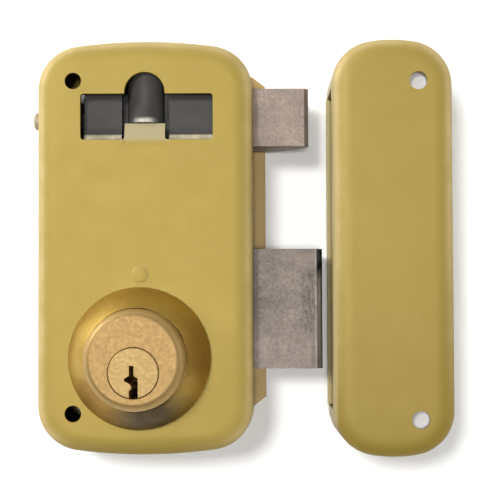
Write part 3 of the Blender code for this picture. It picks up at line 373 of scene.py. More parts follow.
# brass, turned on a lathe
faceBrassLook = {
    "metallic": 0.6, "roughness": (0.465, 0.54),
    "colour": (0.266, 0.165, 0.054), "stain": (0.19, 0.110, 0.037), "paintedLightAndWear": (0.47, 0.31, 0.108),
    "blotch": 1.6, "stained": 0.18, "line": 0.16, "lineDepth": 0.003, "lineShade": 0.16,
    "slope": (0.99, 0.85),
}
plugBrassLook = dict(faceBrassLook, colour=(0.296, 0.197, 0.070), stained=0.13)
# the rosette's level faces are dark as painted shade, its slopes bright as painted highlight and wear
rosetteBrassLook = dict(
    faceBrassLook, metallic=0.9, roughness=(0.40, 0.56), colour=(0.16, 0.105, 0.03),
    stain=(0.31, 0.19, 0.042), paintedLightAndWear=(0.535, 0.360, 0.078), blotch=9.0, stained=0.5, line=0.25,
    paintedShade=[  # painted shade and reflection: darker at two sides and nearly black at the foot
        {"way": (0.99, 0.14), "span": (0.86, 0.99), "colour": (0.26, 0.115, 0.02), "share": 0.6},
        {"way": (-0.64, -0.77), "span": (0.80, 0.97), "colour": (0.26, 0.115, 0.02), "share": 0.6},
        {"way": (0.22, -0.97), "span": (0.70, 0.97), "colour": (0.034, 0.023, 0.016), "share": 0.93},
    ],
)


def turnedBrass(name, look, centre):
    finish, tree, shader = startFinish(name, look)
    place = placeInMm(tree)
    stains = times(tree, clouds(tree, place, look["blotch"], detail=6.0), look["stained"])
    shoulders = ranged(tree, facingUp(tree), look["slope"], (0, 1))  # sloping faces are painted bright: partly rubbed wear, partly a painted highlight
    colour = mixed(tree, stains, mixed(tree, shoulders, look["colour"], look["paintedLightAndWear"]), look["stain"])
    reach = distanceFrom(tree, place, centre)
    for paintedShade in look.get("paintedShade", ()):  # painted shade: darker patches round the ring
        side = towards(tree, place, centre, paintedShade["way"])
        share = addNode(tree, "ShaderNodeMath", {0: side, 1: reach}, operation="DIVIDE").outputs[0]
        share = ranged(tree, share, paintedShade["span"], (0, paintedShade["share"]))
        colour = mixed(tree, share, colour, paintedShade["colour"])
    height = addNode(tree, "ShaderNodeSeparateXYZ", {0: place}).outputs["Z"]
    along = addNode(tree, "ShaderNodeMath", {0: reach, 1: height}, operation="ADD").outputs[0]
    lines = addNode(
        tree, "ShaderNodeTexNoise", {"W": along, "Scale": 1 / look["line"], "Detail": 3.0},
        noise_dimensions="1D",
    ).outputs["Fac"]
    colour = mixed(tree, times(tree, lines, look["lineShade"]), colour, look["stain"])
    roughness = ranged(tree, clouds(tree, place, look["blotch"] / 2), (0, 1), look["roughness"])
    feed(tree, shader, colour=colour, roughness=roughness, normal=bumped(tree, lines, look["lineDepth"]))
    return finish


# steel of the bolts, mottled and scratched along their travel
boltSteelLook = {
    "metallic": 0.4, "roughness": (0.54, 0.68),
    "colour": (0.220, 0.177, 0.149), "dark": (0.105, 0.085, 0.073), "bright": (0.36, 0.32, 0.29),
    "blotch": 6.0, "blotchSpread": (0.3, 0.7), "blotchPull": (1.6, 1, 1), "blotched": 0.75,
    "speck": 0.6, "speckSpread": (0.4, 0.7), "specked": 0.26, "pitDepth": 0.004,
    "scratch": 0.16, "scratchSpread": (0.62, 0.72), "scratchPull": (30, 1, 1), "scratched": 0.25,
    "markSpread": (0.2, 0.6), "markPull": (0.5, 1.6, 1),
}
latchSteelLook = dict(boltSteelLook, colour=(0.315, 0.243, 0.200), dark=(0.19, 0.146, 0.121))
rodSteelLook = dict(boltSteelLook, colour=(0.47, 0.40, 0.265), dark=(0.30, 0.25, 0.17))
workSteelLook = dict(
    boltSteelLook, colour=(0.36, 0.35, 0.34), dark=(0.20, 0.19, 0.18), bright=(0.50, 0.49, 0.48)
)


def wornSteel(name, look, marksAndHighlights=()):
    finish, tree, shader = startFinish(name, look)
    place = placeInMm(tree)
    blotches = clouds(tree, place, look["blotch"], 3.0, look["blotchPull"], look["blotchSpread"])
    specks = clouds(tree, place, look["speck"], detail=5.0, spread=look["speckSpread"])
    scratches = clouds(tree, place, look["scratch"], 2.0, look["scratchPull"], look["scratchSpread"])
    colour = mixed(tree, times(tree, blotches, look["blotched"]), look["colour"], look["dark"])
    colour = mixed(tree, times(tree, specks, look["specked"]), colour, look["dark"])
    colour = mixed(tree, times(tree, scratches, look["scratched"]), colour, look["bright"])
    for mark in marksAndHighlights:
        spread = mark.get("spread", look["markSpread"])
        patchy = clouds(tree, place, mark["patch"], 6.0, look["markPull"], spread)
        colour = mixed(tree, times(tree, softBox(tree, place, mark), patchy), colour, mark["colour"])
    roughness = ranged(tree, specks, (0, 1), look["roughness"])
    feed(tree, shader, colour=colour, roughness=roughness, normal=bumped(tree, specks, -look["pitDepth"]))
    return finish


# moulded plastic
greyLook = {
    "metallic": 0.0, "gloss": 0.2, "roughness": (0.48, 0.60),
    "colour": (0.060, 0.055, 0.050), "shade": (0.050, 0.046, 0.042),
    "blotch": 6.0, "grain": 0.22, "grainDepth": 0.012, "patch": 2.0, "patched": (0.6, 1),
}
whiteLook = dict(greyLook, colour=(0.58, 0.56, 0.555), shade=(0.54, 0.52, 0.51))


def mouldedPlastic(name, look, paintedLightAndWear=()):
    finish, tree, shader = startFinish(name, look)
    place = placeInMm(tree)
    colour = mixed(tree, clouds(tree, place, look["blotch"]), look["colour"], look["shade"])
    for zone in paintedLightAndWear:
        patchy = ranged(tree, clouds(tree, place, look["patch"]), (0, 1), look["patched"])
        colour = mixed(tree, times(tree, softBox(tree, place, zone), patchy), colour, zone["colour"])
    grain = clouds(tree, place, look["grain"], detail=2.0)
    roughness = ranged(tree, grain, (0, 1), look["roughness"])
    feed(tree, shader, colour=colour, roughness=roughness, normal=bumped(tree, grain, look["grainDepth"]))
    return finish


# zinc plate on the small screws
zincLook = {
    "metallic": 1.0, "roughness": (0.24, 0.36),
    "colour": (0.62, 0.62, 0.60), "tint": (0.56, 0.54, 0.46),
    "blotch": 1.6, "grain": 0.3, "grainDepth": 0.006,
}


def zincPlate(name, look):
    finish, tree, shader = startFinish(name, look)
    place = placeInMm(tree)
    colour = mixed(tree, clouds(tree, place, look["blotch"]), look["colour"], look["tint"])
    grain = clouds(tree, place, look["grain"], detail=3.0)
    roughness = ranged(tree, grain, (0, 1), look["roughness"])
    feed(tree, shader, colour=colour, roughness=roughness, normal=bumped(tree, grain, look["grainDepth"]))
    return finish


# case cover: a pressed shell, with thumb window, tongue and openings
coverLow, coverHigh = boxMm("case_cover")
coverTop = coverHigh.z
caseWidth = coverHigh.x - coverLow.x
caseHeight = coverHigh.y - coverLow.y
shell = {
    "cornerRadius": 13.0, "cornerSteps": 28, "edgeRadius": 3.8, "edgeReach": 6.2, "edgePower": 2.35,
    "edgeSteps": 18, "wall": 1.6, "caseEnd": 150.0, "keeperEnd": 40.0, "softness": 0.2, "gap": 0.3,
    "pillar": 3.2, "pillarBore": 1.35, "pillarDepth": 12.1, "floor": 2.8,
}
openings = {
    "hole": 2.4, "holeSide": 10.5, "holeEnd": 12.0, "keeperHole": 2.6,
    "barrel": 12.7, "barrelSteps": 128, "post": 2.1, "rod": 2.9, "boltLow": 5.3, "boltHigh": 17.9,
    "lip": (-47.6, 53.6), "lipDepth": 13.0,
}
ceiling = coverTop - shell["wall"]


def domeRings(width, height, end, centre):
    # from the ceiling down the inside, then up the outside to the top
    inner = shell["edgeRadius"] - shell["wall"]
    levels = []
    for i in range(shell["edgeSteps"] + 1):
        t = math.pi / 2 * (1 - i / shell["edgeSteps"])
        levels.append((shell["wall"] + inner * (1 - math.cos(t)), ceiling - inner * (1 - math.sin(t))))
    levels += [(shell["wall"], 0.0), (0.0, 0.0)]
    for i in range(shell["edgeSteps"] + 1):  # the outside eases into the flat top
        t = math.pi / 2 * i / shell["edgeSteps"]
        inward = 1 - max(math.cos(t), 0) ** (2 / shell["edgePower"])
        drop = 1 - math.sin(t) ** (2 / shell["edgePower"])
        levels.append((shell["edgeReach"] * inward, coverTop - shell["edgeRadius"] * drop))
    rings = []
    for inset, z in levels:
        outline = bowedOutline(shell, width, height, end, centre, inset)
        rings.append([(x, y, z) for x, y in outline])
    return rings


def pillarsAt(spots):
    lumps = [rod(shell["pillar"], shell["floor"], ceiling + shell["wall"] / 2, spot) for spot in spots]
    low, high = shell["floor"] - 1, shell["pillarDepth"]
    bores = [rod(shell["pillarBore"], low, high, spot, boreSteps) for spot in spots]
    return lumps, bores


def throughTop(radius, spot, steps=64):
    return rod(radius, ceiling - 1, coverTop + 1, spot, steps)


def screwSpots(name, count):
    return [middleOf(*boxMm(f"{name}_{i}")) for i in range(1, count + 1)]


latchLow, latchHigh = boxMm("latch_bolt")
slideLow, slideHigh = boxMm("thumb_slide")
headLow, headHigh = boxMm("dead_bolt")
rodLow, rodHigh = boxMm("latch_guide_rod")
lipEdge = boxMm("base_plate")[1].x
cylinderAxis = middleOf(*boxMm("cylinder_nut"))
postSpot = middleOf(*boxMm("bolt_guide_post"))
rodY = (rodLow.y + rodHigh.y) / 2
rodZ = (rodLow.z + rodHigh.z) / 2
doorHoles = [
    (coverLow.x + openings["holeSide"], side * (coverHigh.y - openings["holeEnd"])) for side in (1, -1)
]
window = {
    "left": -18.6, "right": 19.7, "low": 30.9, "high": 44.3, "arch": -0.05, "archHalf": 5.85,
    "archStraight": 0.4, "corner": 1.1, "tongueLow": 30.3, "tongueTip": 35.9, "dip": 2.1,
    "thickness": 1.2, "bend": 1.6, "bite": 0.4, "sag": 0.5, "play": 0.3,
    "cornerSteps": 5, "archSteps": 32, "bendSteps": 8,
}


def windowOutline():
    left, right = window["arch"] - window["archHalf"], window["arch"] + window["archHalf"]
    high = window["high"]
    archFoot = high + window["archStraight"]
    wings = [
        (left, window["tongueTip"]), (left, window["low"]), (window["left"], window["low"]),
        (window["left"], high), (left, high), (left, archFoot),
    ]
    arch = arcPoints(window["arch"], archFoot, window["archHalf"], math.pi, 0, window["archSteps"])
    rest = [
        (right, high), (window["right"], high), (window["right"], window["low"]),
        (right, window["low"]), (right, window["tongueTip"]),
    ]
    outline = roundedPath(wings, window["corner"], window["cornerSteps"]) + arch[1:-1]
    return outline + roundedPath([arch[-1]] + rest, window["corner"], window["cornerSteps"])


def tongueShapes():
    # the strip that bends down into the window: its lump, and what is cut away above it
    half, play, bite = window["archHalf"], window["play"], window["bite"]
    low, tip = window["tongueLow"], window["tongueTip"]
    foot = coverTop - window["dip"]
    start, root = low - 3 * window["bend"], low - window["thickness"]
    ramp = [(start, coverTop), (low - play, coverTop), (tip + 1, foot - bite)]
    ramp = roundedPath(ramp, window["bend"], window["bendSteps"])
    lump = [
        (root, ceiling + bite), (low, ceiling - window["sag"]), (tip, foot - window["thickness"]),
        (tip, ceiling + 2 * bite), (root, ceiling + 2 * bite),
    ]
    above = ramp + [(tip + 1, coverTop + 2), (start, coverTop + 2)]
    middle = window["arch"]
    return (
        alongX(prism(lump, middle - half, middle + half), 0, 0),
        alongX(prism(above, middle - half - play, middle + half + play), 0, 0),
    )


def makeCaseCover():
    rings = domeRings(caseWidth, caseHeight, shell["caseEnd"], (0, 0))
    piece = addPiece("caseCover", loft(rings))
    lumps, bores = pillarsAt(screwSpots("cover_screw", 4))
    fuse(piece, *lumps)
    carve(piece, *bores)
    carve(piece, prism(windowOutline(), ceiling - 1, coverTop + 1))
    lump, above = tongueShapes()
    fuse(piece, lump)
    carve(piece, above)
    gap, wall = shell["gap"], shell["wall"]
    inside, outside = coverHigh.x - 2 * wall, coverHigh.x + wall
    low, high = openings["boltLow"], openings["boltHigh"]
    lipStart, lipEnd = openings["lip"]
    carve(
        piece,
        *[throughTop(openings["hole"], spot) for spot in doorHoles],
        throughTop(openings["barrel"], cylinderAxis, openings["barrelSteps"]),
        throughTop(openings["post"], postSpot),
        alongX(rod(openings["rod"], coverLow.x - wall, coverLow.x + 2 * wall), rodY, rodZ),
        block(inside, outside, latchLow.y - gap, latchHigh.y + gap, low, high),
        block(inside, outside, headLow.y - gap, headHigh.y + gap, low, high),
        block(
            coverHigh.x - openings["lipDepth"], outside, lipStart - gap, lipEnd + gap, -1, shell["floor"]
        ),
    )
    softEdges(piece, shell["softness"])
    return piece


# painted highlight on the tongue's sloping face, with some paint wear from thumbs
tongueHighlightAndWear = {"X": (-5.7, 6.0), "Y": (31.6, 36.5), "fade": 1.6, "colour": (0.40, 0.335, 0.19)}
# painted shade darkening the case's lower edge
paintedFootShade = {"Y": (coverLow.y - 1, coverLow.y + 1), "fade": 5.0, "colour": (0.262, 0.184, 0.028)}
coverPaint = goldPaint("coverPaint", goldLook, [paintedFootShade, tongueHighlightAndWear])
goldFinish = goldPaint("goldFinish", goldLook)
# painted light lifting the base plate's lip out of the case's shadow
paintedLipLight = {"X": (coverHigh.x + 0.5, lipEdge), "fade": 1.5, "colour": (0.405, 0.278, 0.105)}
plateFinish = goldPaint("plateFinish", goldLook, [paintedLipLight])
dress(makeCaseCover(), coverPaint, "lock_case", "gold_paint", "case_cover")
print("case cover pressed")

# keeper cover: the same shell, open towards the bolts
keeperLow, keeperHigh = boxMm("keeper_cover")
# a darker copy of the gold paint: painted shade on the keeper
keeperLook = dict(goldLook, colour=(0.305, 0.215, 0.036), shade=(0.297, 0.209, 0.035))
# painted shade: darker towards the keeper's lower end
paintedEndShade = {"Y": (keeperLow.y - 1, keeperLow.y), "fade": 70.0, "colour": (0.25, 0.176, 0.027)}
# painted light on the keeper's left edge by the mouth, lifting it out of shade
paintedMouthLight = {"X": (keeperLow.x - 1, keeperLow.x + 0.4), "fade": 1.0, "colour": (0.46, 0.375, 0.18)}
keeperFinish = goldPaint("keeperFinish", keeperLook, [paintedEndShade, paintedMouthLight])
keeperMiddle = middleOf(keeperLow, keeperHigh)
keeperWidth = keeperHigh.x - keeperLow.x
keeperHeight = keeperHigh.y - keeperLow.y
keeperHoles = screwSpots("keeper_spacer", 2)
mouth = {"end": 13.6, "depth": 5.6}


def makeKeeperCover():
    rings = domeRings(keeperWidth, keeperHeight, shell["keeperEnd"], keeperMiddle)
    piece = addPiece("keeperCover", loft(rings))
    lumps, bores = pillarsAt(screwSpots("keeper_screw", 2))
    fuse(piece, *lumps)
    low, high = keeperLow.y + mouth["end"], keeperHigh.y - mouth["end"]
    wall = shell["wall"]
    carve(
        piece, *bores, *[throughTop(openings["keeperHole"], spot) for spot in keeperHoles],
        block(keeperLow.x - wall, keeperLow.x + 2 * wall, low, high, -wall, coverTop - mouth["depth"]),
    )
    softEdges(piece, shell["softness"])
    return piece


dress(makeKeeperCover(), keeperFinish, "lock_case", "gold_paint", "keeper_cover")
print("keeper cover pressed")

# rosette, cylinder and plug
bodyLow, bodyHigh = boxMm("cylinder_body")
roseLow, roseHigh = boxMm("cylinder_rosette")
plugLow, plugHigh = boxMm("cylinder_plug")
faceZ = bodyHigh.z
roseCut = {
    "rim": 1.0, "land": 0.12, "bow": 0.6, "wall": 1.5, "inner": 14.4, "softness": 0.08,
    "steps": 160, "bowSteps": 18, "cadSides": 40,
}


def bulged(start, stop, rise, count):
    # a line from start to stop that swells out to one side
    run = Vector(stop) - Vector(start)
    side = Vector((run.y, -run.x)).normalized()
    points = []
    for i in range(count + 1):
        share = i / count
        points.append(tuple(Vector(start) + run * share + side * rise * 4 * share * (1 - share)))
    return points


def makeRosette():
    radius = (roseHigh.x - roseLow.x) / 2 / math.cos(math.pi / roseCut["cadSides"])
    low, top = roseLow.z, roseHigh.z
    wall, hole, barrel = roseCut["wall"], roseCut["inner"], openings["barrel"]
    seat = faceZ - bodyCut["thickness"] - shell["gap"]
    start, stop = (radius, low + roseCut["rim"]), (hole + roseCut["land"], top)
    flank = bulged(start, stop, roseCut["bow"], roseCut["bowSteps"])
    inner = [(r - wall, z - wall) for r, z in reversed(flank)]
    inner = [(r, z) for r, z in inner if low < z < seat - wall]
    profile = [(radius - wall, low), (radius, low)] + flank
    profile += [(hole, top), (hole, seat), (barrel, seat), (barrel, seat - wall)] + inner
    piece = addPiece("cylinderRosette", turned(profile, roseCut["steps"], cylinderAxis))
    softEdges(piece, roseCut["softness"])
    return piece


bodyCut = {
    "barrel": 12.4, "flange": 14.1, "thickness": 8.8, "face": 11.9, "step": 0.5, "drop": 3.4,
    "softness": 0.12, "steps": 160, "shoulderSteps": 16,
}
plugCut = {
    "radius": 6.95, "drop": 3.4, "play": 0.15, "bevel": 0.3, "tail": 2.4, "flat": 1.7, "flatTop": 13.3,
    "clip": 1.1, "collar": 0.8, "groove": 1.5, "wayEnd": 1.25, "steps": 128,
    "crossPin": 0.9, "crossHalf": 3.7, "crossZ": 11.25,
    "pins": 4, "firstPin": 10.8, "pinPitch": 4.2, "pinBore": 1.4, "pinReach": 8.5, "bodyReach": 20.0,
}
plugSpot = (cylinderAxis[0], cylinderAxis[1] - plugCut["drop"])
plugRadius = plugCut["radius"]
pinPlaces = [faceZ - plugCut["firstPin"] - i * plugCut["pinPitch"] for i in range(plugCut["pins"])]


def pinBores(reach):
    # one bore for each pin, from the plug's axis upwards
    x, y = plugSpot
    return [alongY(rod(plugCut["pinBore"], y, y + reach, steps=boreSteps), x, z) for z in pinPlaces]


def makeCylinderBody():
    step = faceZ - bodyCut["step"]
    under = faceZ - bodyCut["thickness"]
    profile = [
        (0, bodyLow.z), (bodyCut["barrel"], bodyLow.z),
        (bodyCut["barrel"], under), (bodyCut["flange"], under),
    ]
    slope = bodyCut["flange"] - bodyCut["face"]
    for i in range(bodyCut["shoulderSteps"] + 1):  # a rounded shoulder
        t = math.pi / 2 * i / bodyCut["shoulderSteps"]
        profile.append((bodyCut["face"] + slope * math.cos(t), step - bodyCut["drop"] * (1 - math.sin(t))))
    profile += [(bodyCut["face"], faceZ), (0, faceZ)]
    piece = addPiece("cylinderBody", turned(profile, bodyCut["steps"], cylinderAxis))
    bore = rod(plugRadius + plugCut["play"], bodyLow.z - 1, faceZ + 1, plugSpot, plugCut["steps"])
    carve(piece, bore, *pinBores(plugCut["bodyReach"]))
    softEdges(piece, bodyCut["softness"])
    return piece


keyCut = {
    "top": 2.0, "offset": 1.1, "blade": 1.25, "shoulder": 1.15, "ward": 1.3, "rib": 0.6, "step": 0.7,
    "past": 1.6, "softness": 0.1,
}


def keywayOutline():
    # an upright slot with two wards on its left and a wide foot, open at the plug's lower edge
    left = -keyCut["offset"]
    right = left + keyCut["blade"]
    foot, ward, rib = right + keyCut["shoulder"], left - keyCut["ward"], left + keyCut["rib"]
    step, end = keyCut["step"], -plugRadius - keyCut["past"]
    points = [
        (left, keyCut["top"]), (left, -step), (ward, -2 * step), (ward, -3 * step), (left, -4 * step),
        (rib, -5 * step), (rib, -6 * step), (left, -7 * step), (left, end), (foot, end), (foot, -2 * step),
        (right, -step), (right, keyCut["top"]),
    ]
    return [(plugSpot[0] + x, plugSpot[1] + y) for x, y in points]


def makePlug():
    front, rear = plugHigh.z, bodyLow.z
    x, y = plugSpot
    tail, bevel, half = plugCut["tail"], plugCut["bevel"], plugCut["crossHalf"]
    clipLow, groove = rear - plugCut["clip"], plugRadius - plugCut["groove"]
    grooveLow, grooveHigh = clipLow - plugCut["play"], rear - plugCut["play"]
    profile = [
        (0, plugLow.z), (tail, plugLow.z), (tail, clipLow - plugCut["collar"]),
        (plugRadius, clipLow - plugCut["collar"]), (plugRadius, grooveLow), (groove, grooveLow),
        (groove, grooveHigh), (plugRadius, grooveHigh), (plugRadius, front - bevel),
        (plugRadius - bevel, front), (0, front),
    ]
    piece = addPiece("cylinderPlug", turned(profile, plugCut["steps"], plugSpot))
    carve(
        piece, prism(keywayOutline(), rear + plugCut["wayEnd"], front + 1), *pinBores(plugCut["pinReach"]),
        block(x - tail, x + tail, y + plugCut["flat"], y + 2 * tail, 0, plugCut["flatTop"]),
        alongX(rod(plugCut["crossPin"], x - half, x + half, steps=boreSteps), y, plugCut["crossZ"]),
    )
    softEdges(piece, keyCut["softness"])
    return piece


rosetteBrass = turnedBrass("rosetteBrass", rosetteBrassLook, cylinderAxis)
faceBrass = turnedBrass("faceBrass", faceBrassLook, cylinderAxis)
plugBrass = turnedBrass("plugBrass", plugBrassLook, plugSpot)
dress(makeRosette(), rosetteBrass, "lock_case", "brass", "cylinder_rosette")
dress(makeCylinderBody(), faceBrass, "lock_case", "brass", "cylinder_body")
dress(makePlug(), plugBrass, "key_plug", "brass", "cylinder_plug")
print("cylinder turned")

# thumb slide: plate, two dished pads and a half-round middle that flares to a lip
slide = {
    "plate": 1.1, "wingDepth": 4.6, "lip": 1.4, "dish": 4.5, "column": 5.4, "groove": 1.5, "lap": 1.0,
    "rise": 1.2, "flare": 7.0, "softness": 0.18, "steps": 20, "roundSteps": 40, "play": 0.3, "edge": 0.4,
    "crestGap": 0.6, "bore": 1.15, "boreDepth": 2.35,
}


def makeThumbSlide():
    play, edge = slide["play"], slide["edge"]
    low, high = window["low"] + play, window["high"] + slide["lap"]
    base = slideLow.z
    wingZ = coverTop - slide["wingDepth"]
    piece = addPiece("thumbSlide", block(slideLow.x, slideHigh.x, low, high, base, base + slide["plate"]))
    wing = [(low, base + play), (high - play, base + play), (high - play, wingZ)]
    for i in range(slide["steps"] + 1):
        share = i / slide["steps"]
        wing.append((low + edge + slide["dish"] * (1 - share), wingZ + slide["lip"] * share ** 2))
    wing.append((low, wingZ + slide["lip"] - edge))
    reach = slide["column"] + slide["groove"]
    middle = window["arch"]
    fuse(
        piece,
        alongX(prism(wing, slideLow.x, middle - reach), 0, 0),
        alongX(prism(wing, middle + reach, slideHigh.x), 0, 0),
    )
    start, end = window["tongueTip"] + play, slideHigh.y
    stations = [start + slide["flare"] * i / slide["steps"] for i in range(slide["steps"] + 1)] + [end]
    crest = ceiling - slide["crestGap"]
    turn = [math.pi * i / slide["roundSteps"] for i in range(slide["roundSteps"] + 1)]
    rings = []
    for y in stations:
        lift = max(0.0, 1 - (y - start) / slide["flare"]) ** 2
        height = crest - base - play + lift * slide["rise"]
        rings.append(
            [(middle + slide["column"] * math.cos(t), y, base + play + height * math.sin(t)) for t in turn]
        )
    fuse(piece, loft(rings))
    for spot in screwSpots("slide_screw", 2):
        carve(piece, rod(slide["bore"], base - 1, base + slide["boreDepth"], spot, boreSteps))
    softEdges(piece, slide["softness"])
    return piece


# painted highlights on the pads' lower lips and the column's flared lip, and painted shade in the deep
# grooves
slideHighlightsAndShade = [
    {"Y": (31.0, 32.6), "Z": (22.2, 23.0), "fade": 0.5, "colour": (0.525, 0.47, 0.325)},
    {"X": (-1.2, 1.1), "Y": (36.0, 36.9), "fade": 1.0, "fadeX": 2.6, "colour": (0.62, 0.58, 0.47)},
    {"Z": (16.0, 19.0), "fade": 1.2, "colour": (0.012, 0.011, 0.010)},  # painted shade darkening the deep grooves
]
greyPlastic = mouldedPlastic("greyPlastic", greyLook, slideHighlightsAndShade)
dress(makeThumbSlide(), greyPlastic, "latch", "grey_plastic", "thumb_slide")
print("thumb slide moulded")

# guide post, guide rod, white sleeves, screws from the back and dead bolt
post = {
    "spigot": 1.8, "shoulder": 3.4, "shoulderTop": 6.1, "shank": 2.5, "neck": 1.9, "mark": 2.35,
    "seat": 0.15, "rim": 0.05, "crown": 0.4, "crownSteps": 12, "softness": 0.05,
}


def makeGuidePost():
    under = coverTop + post["seat"]  # the riveted end sits on the cover
    shank, neck, mark, rim = post["shank"], post["neck"], post["mark"], post["rim"]
    shankTop = ceiling - shell["gap"]
    profile = [
        (0, 0), (post["spigot"], 0), (post["spigot"], shell["floor"]), (post["shoulder"], shell["floor"]),
        (post["shoulder"], post["shoulderTop"]), (shank, post["shoulderTop"]), (shank, shankTop),
        (neck, shankTop), (neck, under), (mark, under),
    ]
    for i in range(post["crownSteps"] + 1):  # a low dome
        t = math.pi / 2 * i / post["crownSteps"]
        profile.append((mark * math.cos(t), under + rim + (post["crown"] - rim) * math.sin(t)))
    piece = addPiece("guidePost", turned(profile, centre=postSpot))
    softEdges(piece, post["softness"])
    return piece


guideRod = {"radius": 2.6, "round": 0.9, "roundSteps": 8, "softness": 0.05, "steps": 64}


def makeGuideRod():
    radius, inward, start = guideRod["radius"], guideRod["round"], rodLow.x
    profile = [(0, start)]
    for i in range(guideRod["roundSteps"] + 1):
        t = math.pi / 2 * i / guideRod["roundSteps"]
        profile.append((radius - inward * (1 - math.sin(t)), start + inward * (1 - math.cos(t))))
    profile += [(radius, rodHigh.x), (0, rodHigh.x)]
    piece = addPiece("guideRod", alongX(turned(profile, guideRod["steps"]), rodY, rodZ))
    softEdges(piece, guideRod["softness"])
    return piece


sleeve = {"outside": 3.9, "cup": 1.2, "web": 1.0, "softness": 0.15, "steps": 64}


def makeSleeve(name, spot):
    # a cup under the cover's hole, closed by a thin white web that stands in for the bright floor seen
    # through the hole: painted light
    inside, outside = openings["keeperHole"], sleeve["outside"]
    top = ceiling - shell["gap"]
    web = top - sleeve["cup"]
    profile = [
        (0, web - sleeve["web"]), (inside, web - sleeve["web"]), (inside, shell["floor"]),
        (outside, shell["floor"]), (outside, top), (inside, top), (inside, web), (0, web),
    ]
    piece = addPiece(name, turned(profile, sleeve["steps"], spot))
    softEdges(piece, sleeve["softness"])
    return piece


screw = {
    "head": 2.7, "shank": 1.2, "cone": 1.5, "rim": 0.12, "softness": 0.06, "steps": 48,
    "slotLength": 1.7, "slotWidth": 0.42, "slotStart": -0.3, "slotDepth": 1.15, "slotFlare": 1.1,
    "slotTaper": 0.5, "firstTurn": 0.4, "turnStep": 1.1,
}


def crossArm(spot, turn):
    # one arm of the cross recess, tapering inwards
    half, width = screw["slotLength"], screw["slotWidth"]
    corners = [(-half, -width), (half, -width), (half, width), (-half, width)]
    ends = ((screw["slotStart"], screw["slotFlare"]), (screw["slotDepth"], screw["slotTaper"]))
    rings = []
    for z, share in ends:
        rings.append([(x * share, y * share, z) for x, y in corners])
    bm = loft(rings)
    place = Matrix.Translation((*spot, 0)) @ Matrix.Rotation(turn, 4, "Z")
    bmesh.ops.transform(bm, matrix=place, verts=bm.verts)
    return bm


def makeBackScrew(name, node, turn):
    low, high = boxMm(node)
    spot = middleOf(low, high)
    head, shank, rim = screw["head"], screw["shank"], screw["rim"]
    profile = [
        (0, low.z), (head - rim, low.z), (head, low.z + rim), (shank, low.z + screw["cone"]),
        (shank, high.z - shank), (0, high.z),
    ]
    piece = addPiece(name, turned(profile, screw["steps"], spot))
    carve(piece, crossArm(spot, turn), crossArm(spot, turn + math.pi / 2))
    softEdges(piece, screw["softness"])
    return piece


nose = {"chamfer": 1.6, "reach": 3.0, "near": 0.1, "weld": 0.01, "softness": 0.3}


def makeDeadBolt():
    # a copy of the CAD bolt, with its nose chamfered at front and back only
    bm = bmesh.new()
    bm.from_mesh(nodes["dead_bolt"].data)
    bmesh.ops.scale(bm, vec=(1 / mm, 1 / mm, 1 / mm), verts=bm.verts)
    bmesh.ops.remove_doubles(bm, verts=bm.verts, dist=nose["weld"])
    tip, cut = headHigh.x, nose["chamfer"]
    flat = tip - nose["near"]
    end = [v.co for v in bm.verts if v.co.x > flat]
    rim = [v.co for v in bm.verts if tip - nose["reach"] < v.co.x < flat]
    low, high = min(spot.z for spot in rim), max(spot.z for spot in rim)
    for spot in end:
        spot.y = headHigh.y if spot.y > (headLow.y + headHigh.y) / 2 else headLow.y
        spot.z = high - cut if spot.z > (low + high) / 2 else low + cut
    for spot in rim:
        spot.x = tip - cut
    piece = addPiece("deadBolt", bm)
    softEdges(piece, nose["softness"])
    return piece


tipX = headHigh.x
boltMarksAndHighlights = [  # a painted highlight on the nose chamfer and another on the top edge before it, a dark line along the tip, dark scuffs and grime on the nose, and a lighter band along the lower side
    {"X": (tipX - 1.4, tipX - 0.6), "fade": 0.15, "patch": 6.0, "colour": (0.36, 0.32, 0.28)},
    {
        "X": (tipX - 2.2, tipX - 1.8), "Z": (17.3, 17.8), "fade": 0.2, "patch": 6.0,
        "colour": (0.25, 0.222, 0.195),
    },
    {"X": (tipX - 0.5, tipX), "fade": 0.15, "patch": 6.0, "colour": (0.09, 0.08, 0.072)},
    {
        "X": (tipX - 5.0, tipX - 2.6), "Y": (-22.0, -8.0), "fade": 4.0, "fadeX": 2.0, "patch": 1.5,
        "spread": (0.45, 0.8), "colour": (0.04, 0.034, 0.030),
    },
    {
        "X": (tipX - 1.6, tipX), "Y": (-6.0, 0.0), "fade": 0.3, "fadeY": 3.5, "patch": 5.0,
        "colour": (0.008, 0.007, 0.006),
    },
    {
        "X": (tipX - 30, tipX - 4), "Y": (headLow.y - 1, headLow.y + 7), "fade": 1.0, "fadeY": 6.0,
        "patch": 5.0, "colour": (0.235, 0.19, 0.162),
    },
]
boltSteel = wornSteel("boltSteel", boltSteelLook, boltMarksAndHighlights)
latchSteel = wornSteel("latchSteel", latchSteelLook)
rodSteel = wornSteel("rodSteel", rodSteelLook)
workSteel = wornSteel("workSteel", workSteelLook)
zincFinish = zincPlate("zincFinish", zincLook)
whitePlastic = mouldedPlastic("whitePlastic", whiteLook)
dress(makeDeadBolt(), boltSteel, "dead_bolt", "steel", "dead_bolt")
dress(makeGuidePost(), goldFinish, "lock_case", "gold_paint", "bolt_guide_post")
dress(makeGuideRod(), rodSteel, "latch", "steel", "latch_guide_rod")
for i, spot in enumerate(keeperHoles, 1):
    piece = makeSleeve(f"keeperSleeve{i}", spot)
    dress(piece, whitePlastic, "lock_case", "white_plastic", f"keeper_spacer_{i}")
for kind, count in (("cover", 4), ("keeper", 2)):
    for i in range(1, count + 1):
        node = f"{kind}_screw_{i}"
        piece = makeBackScrew(f"{kind}Screw{i}", node, screw["firstTurn"] + screw["turnStep"] * i)
        dress(piece, zincFinish, "lock_case", "zinc", node)
print("small pieces and dead bolt made")

# return spring of the latch, which shortens as the latch goes in
springLow, springHigh = boxMm("latch_spring")
coil = {"turns": 7, "radius": 3.75, "wire": 0.45, "perTurn": 36, "sides": 12, "shut": 8.0}


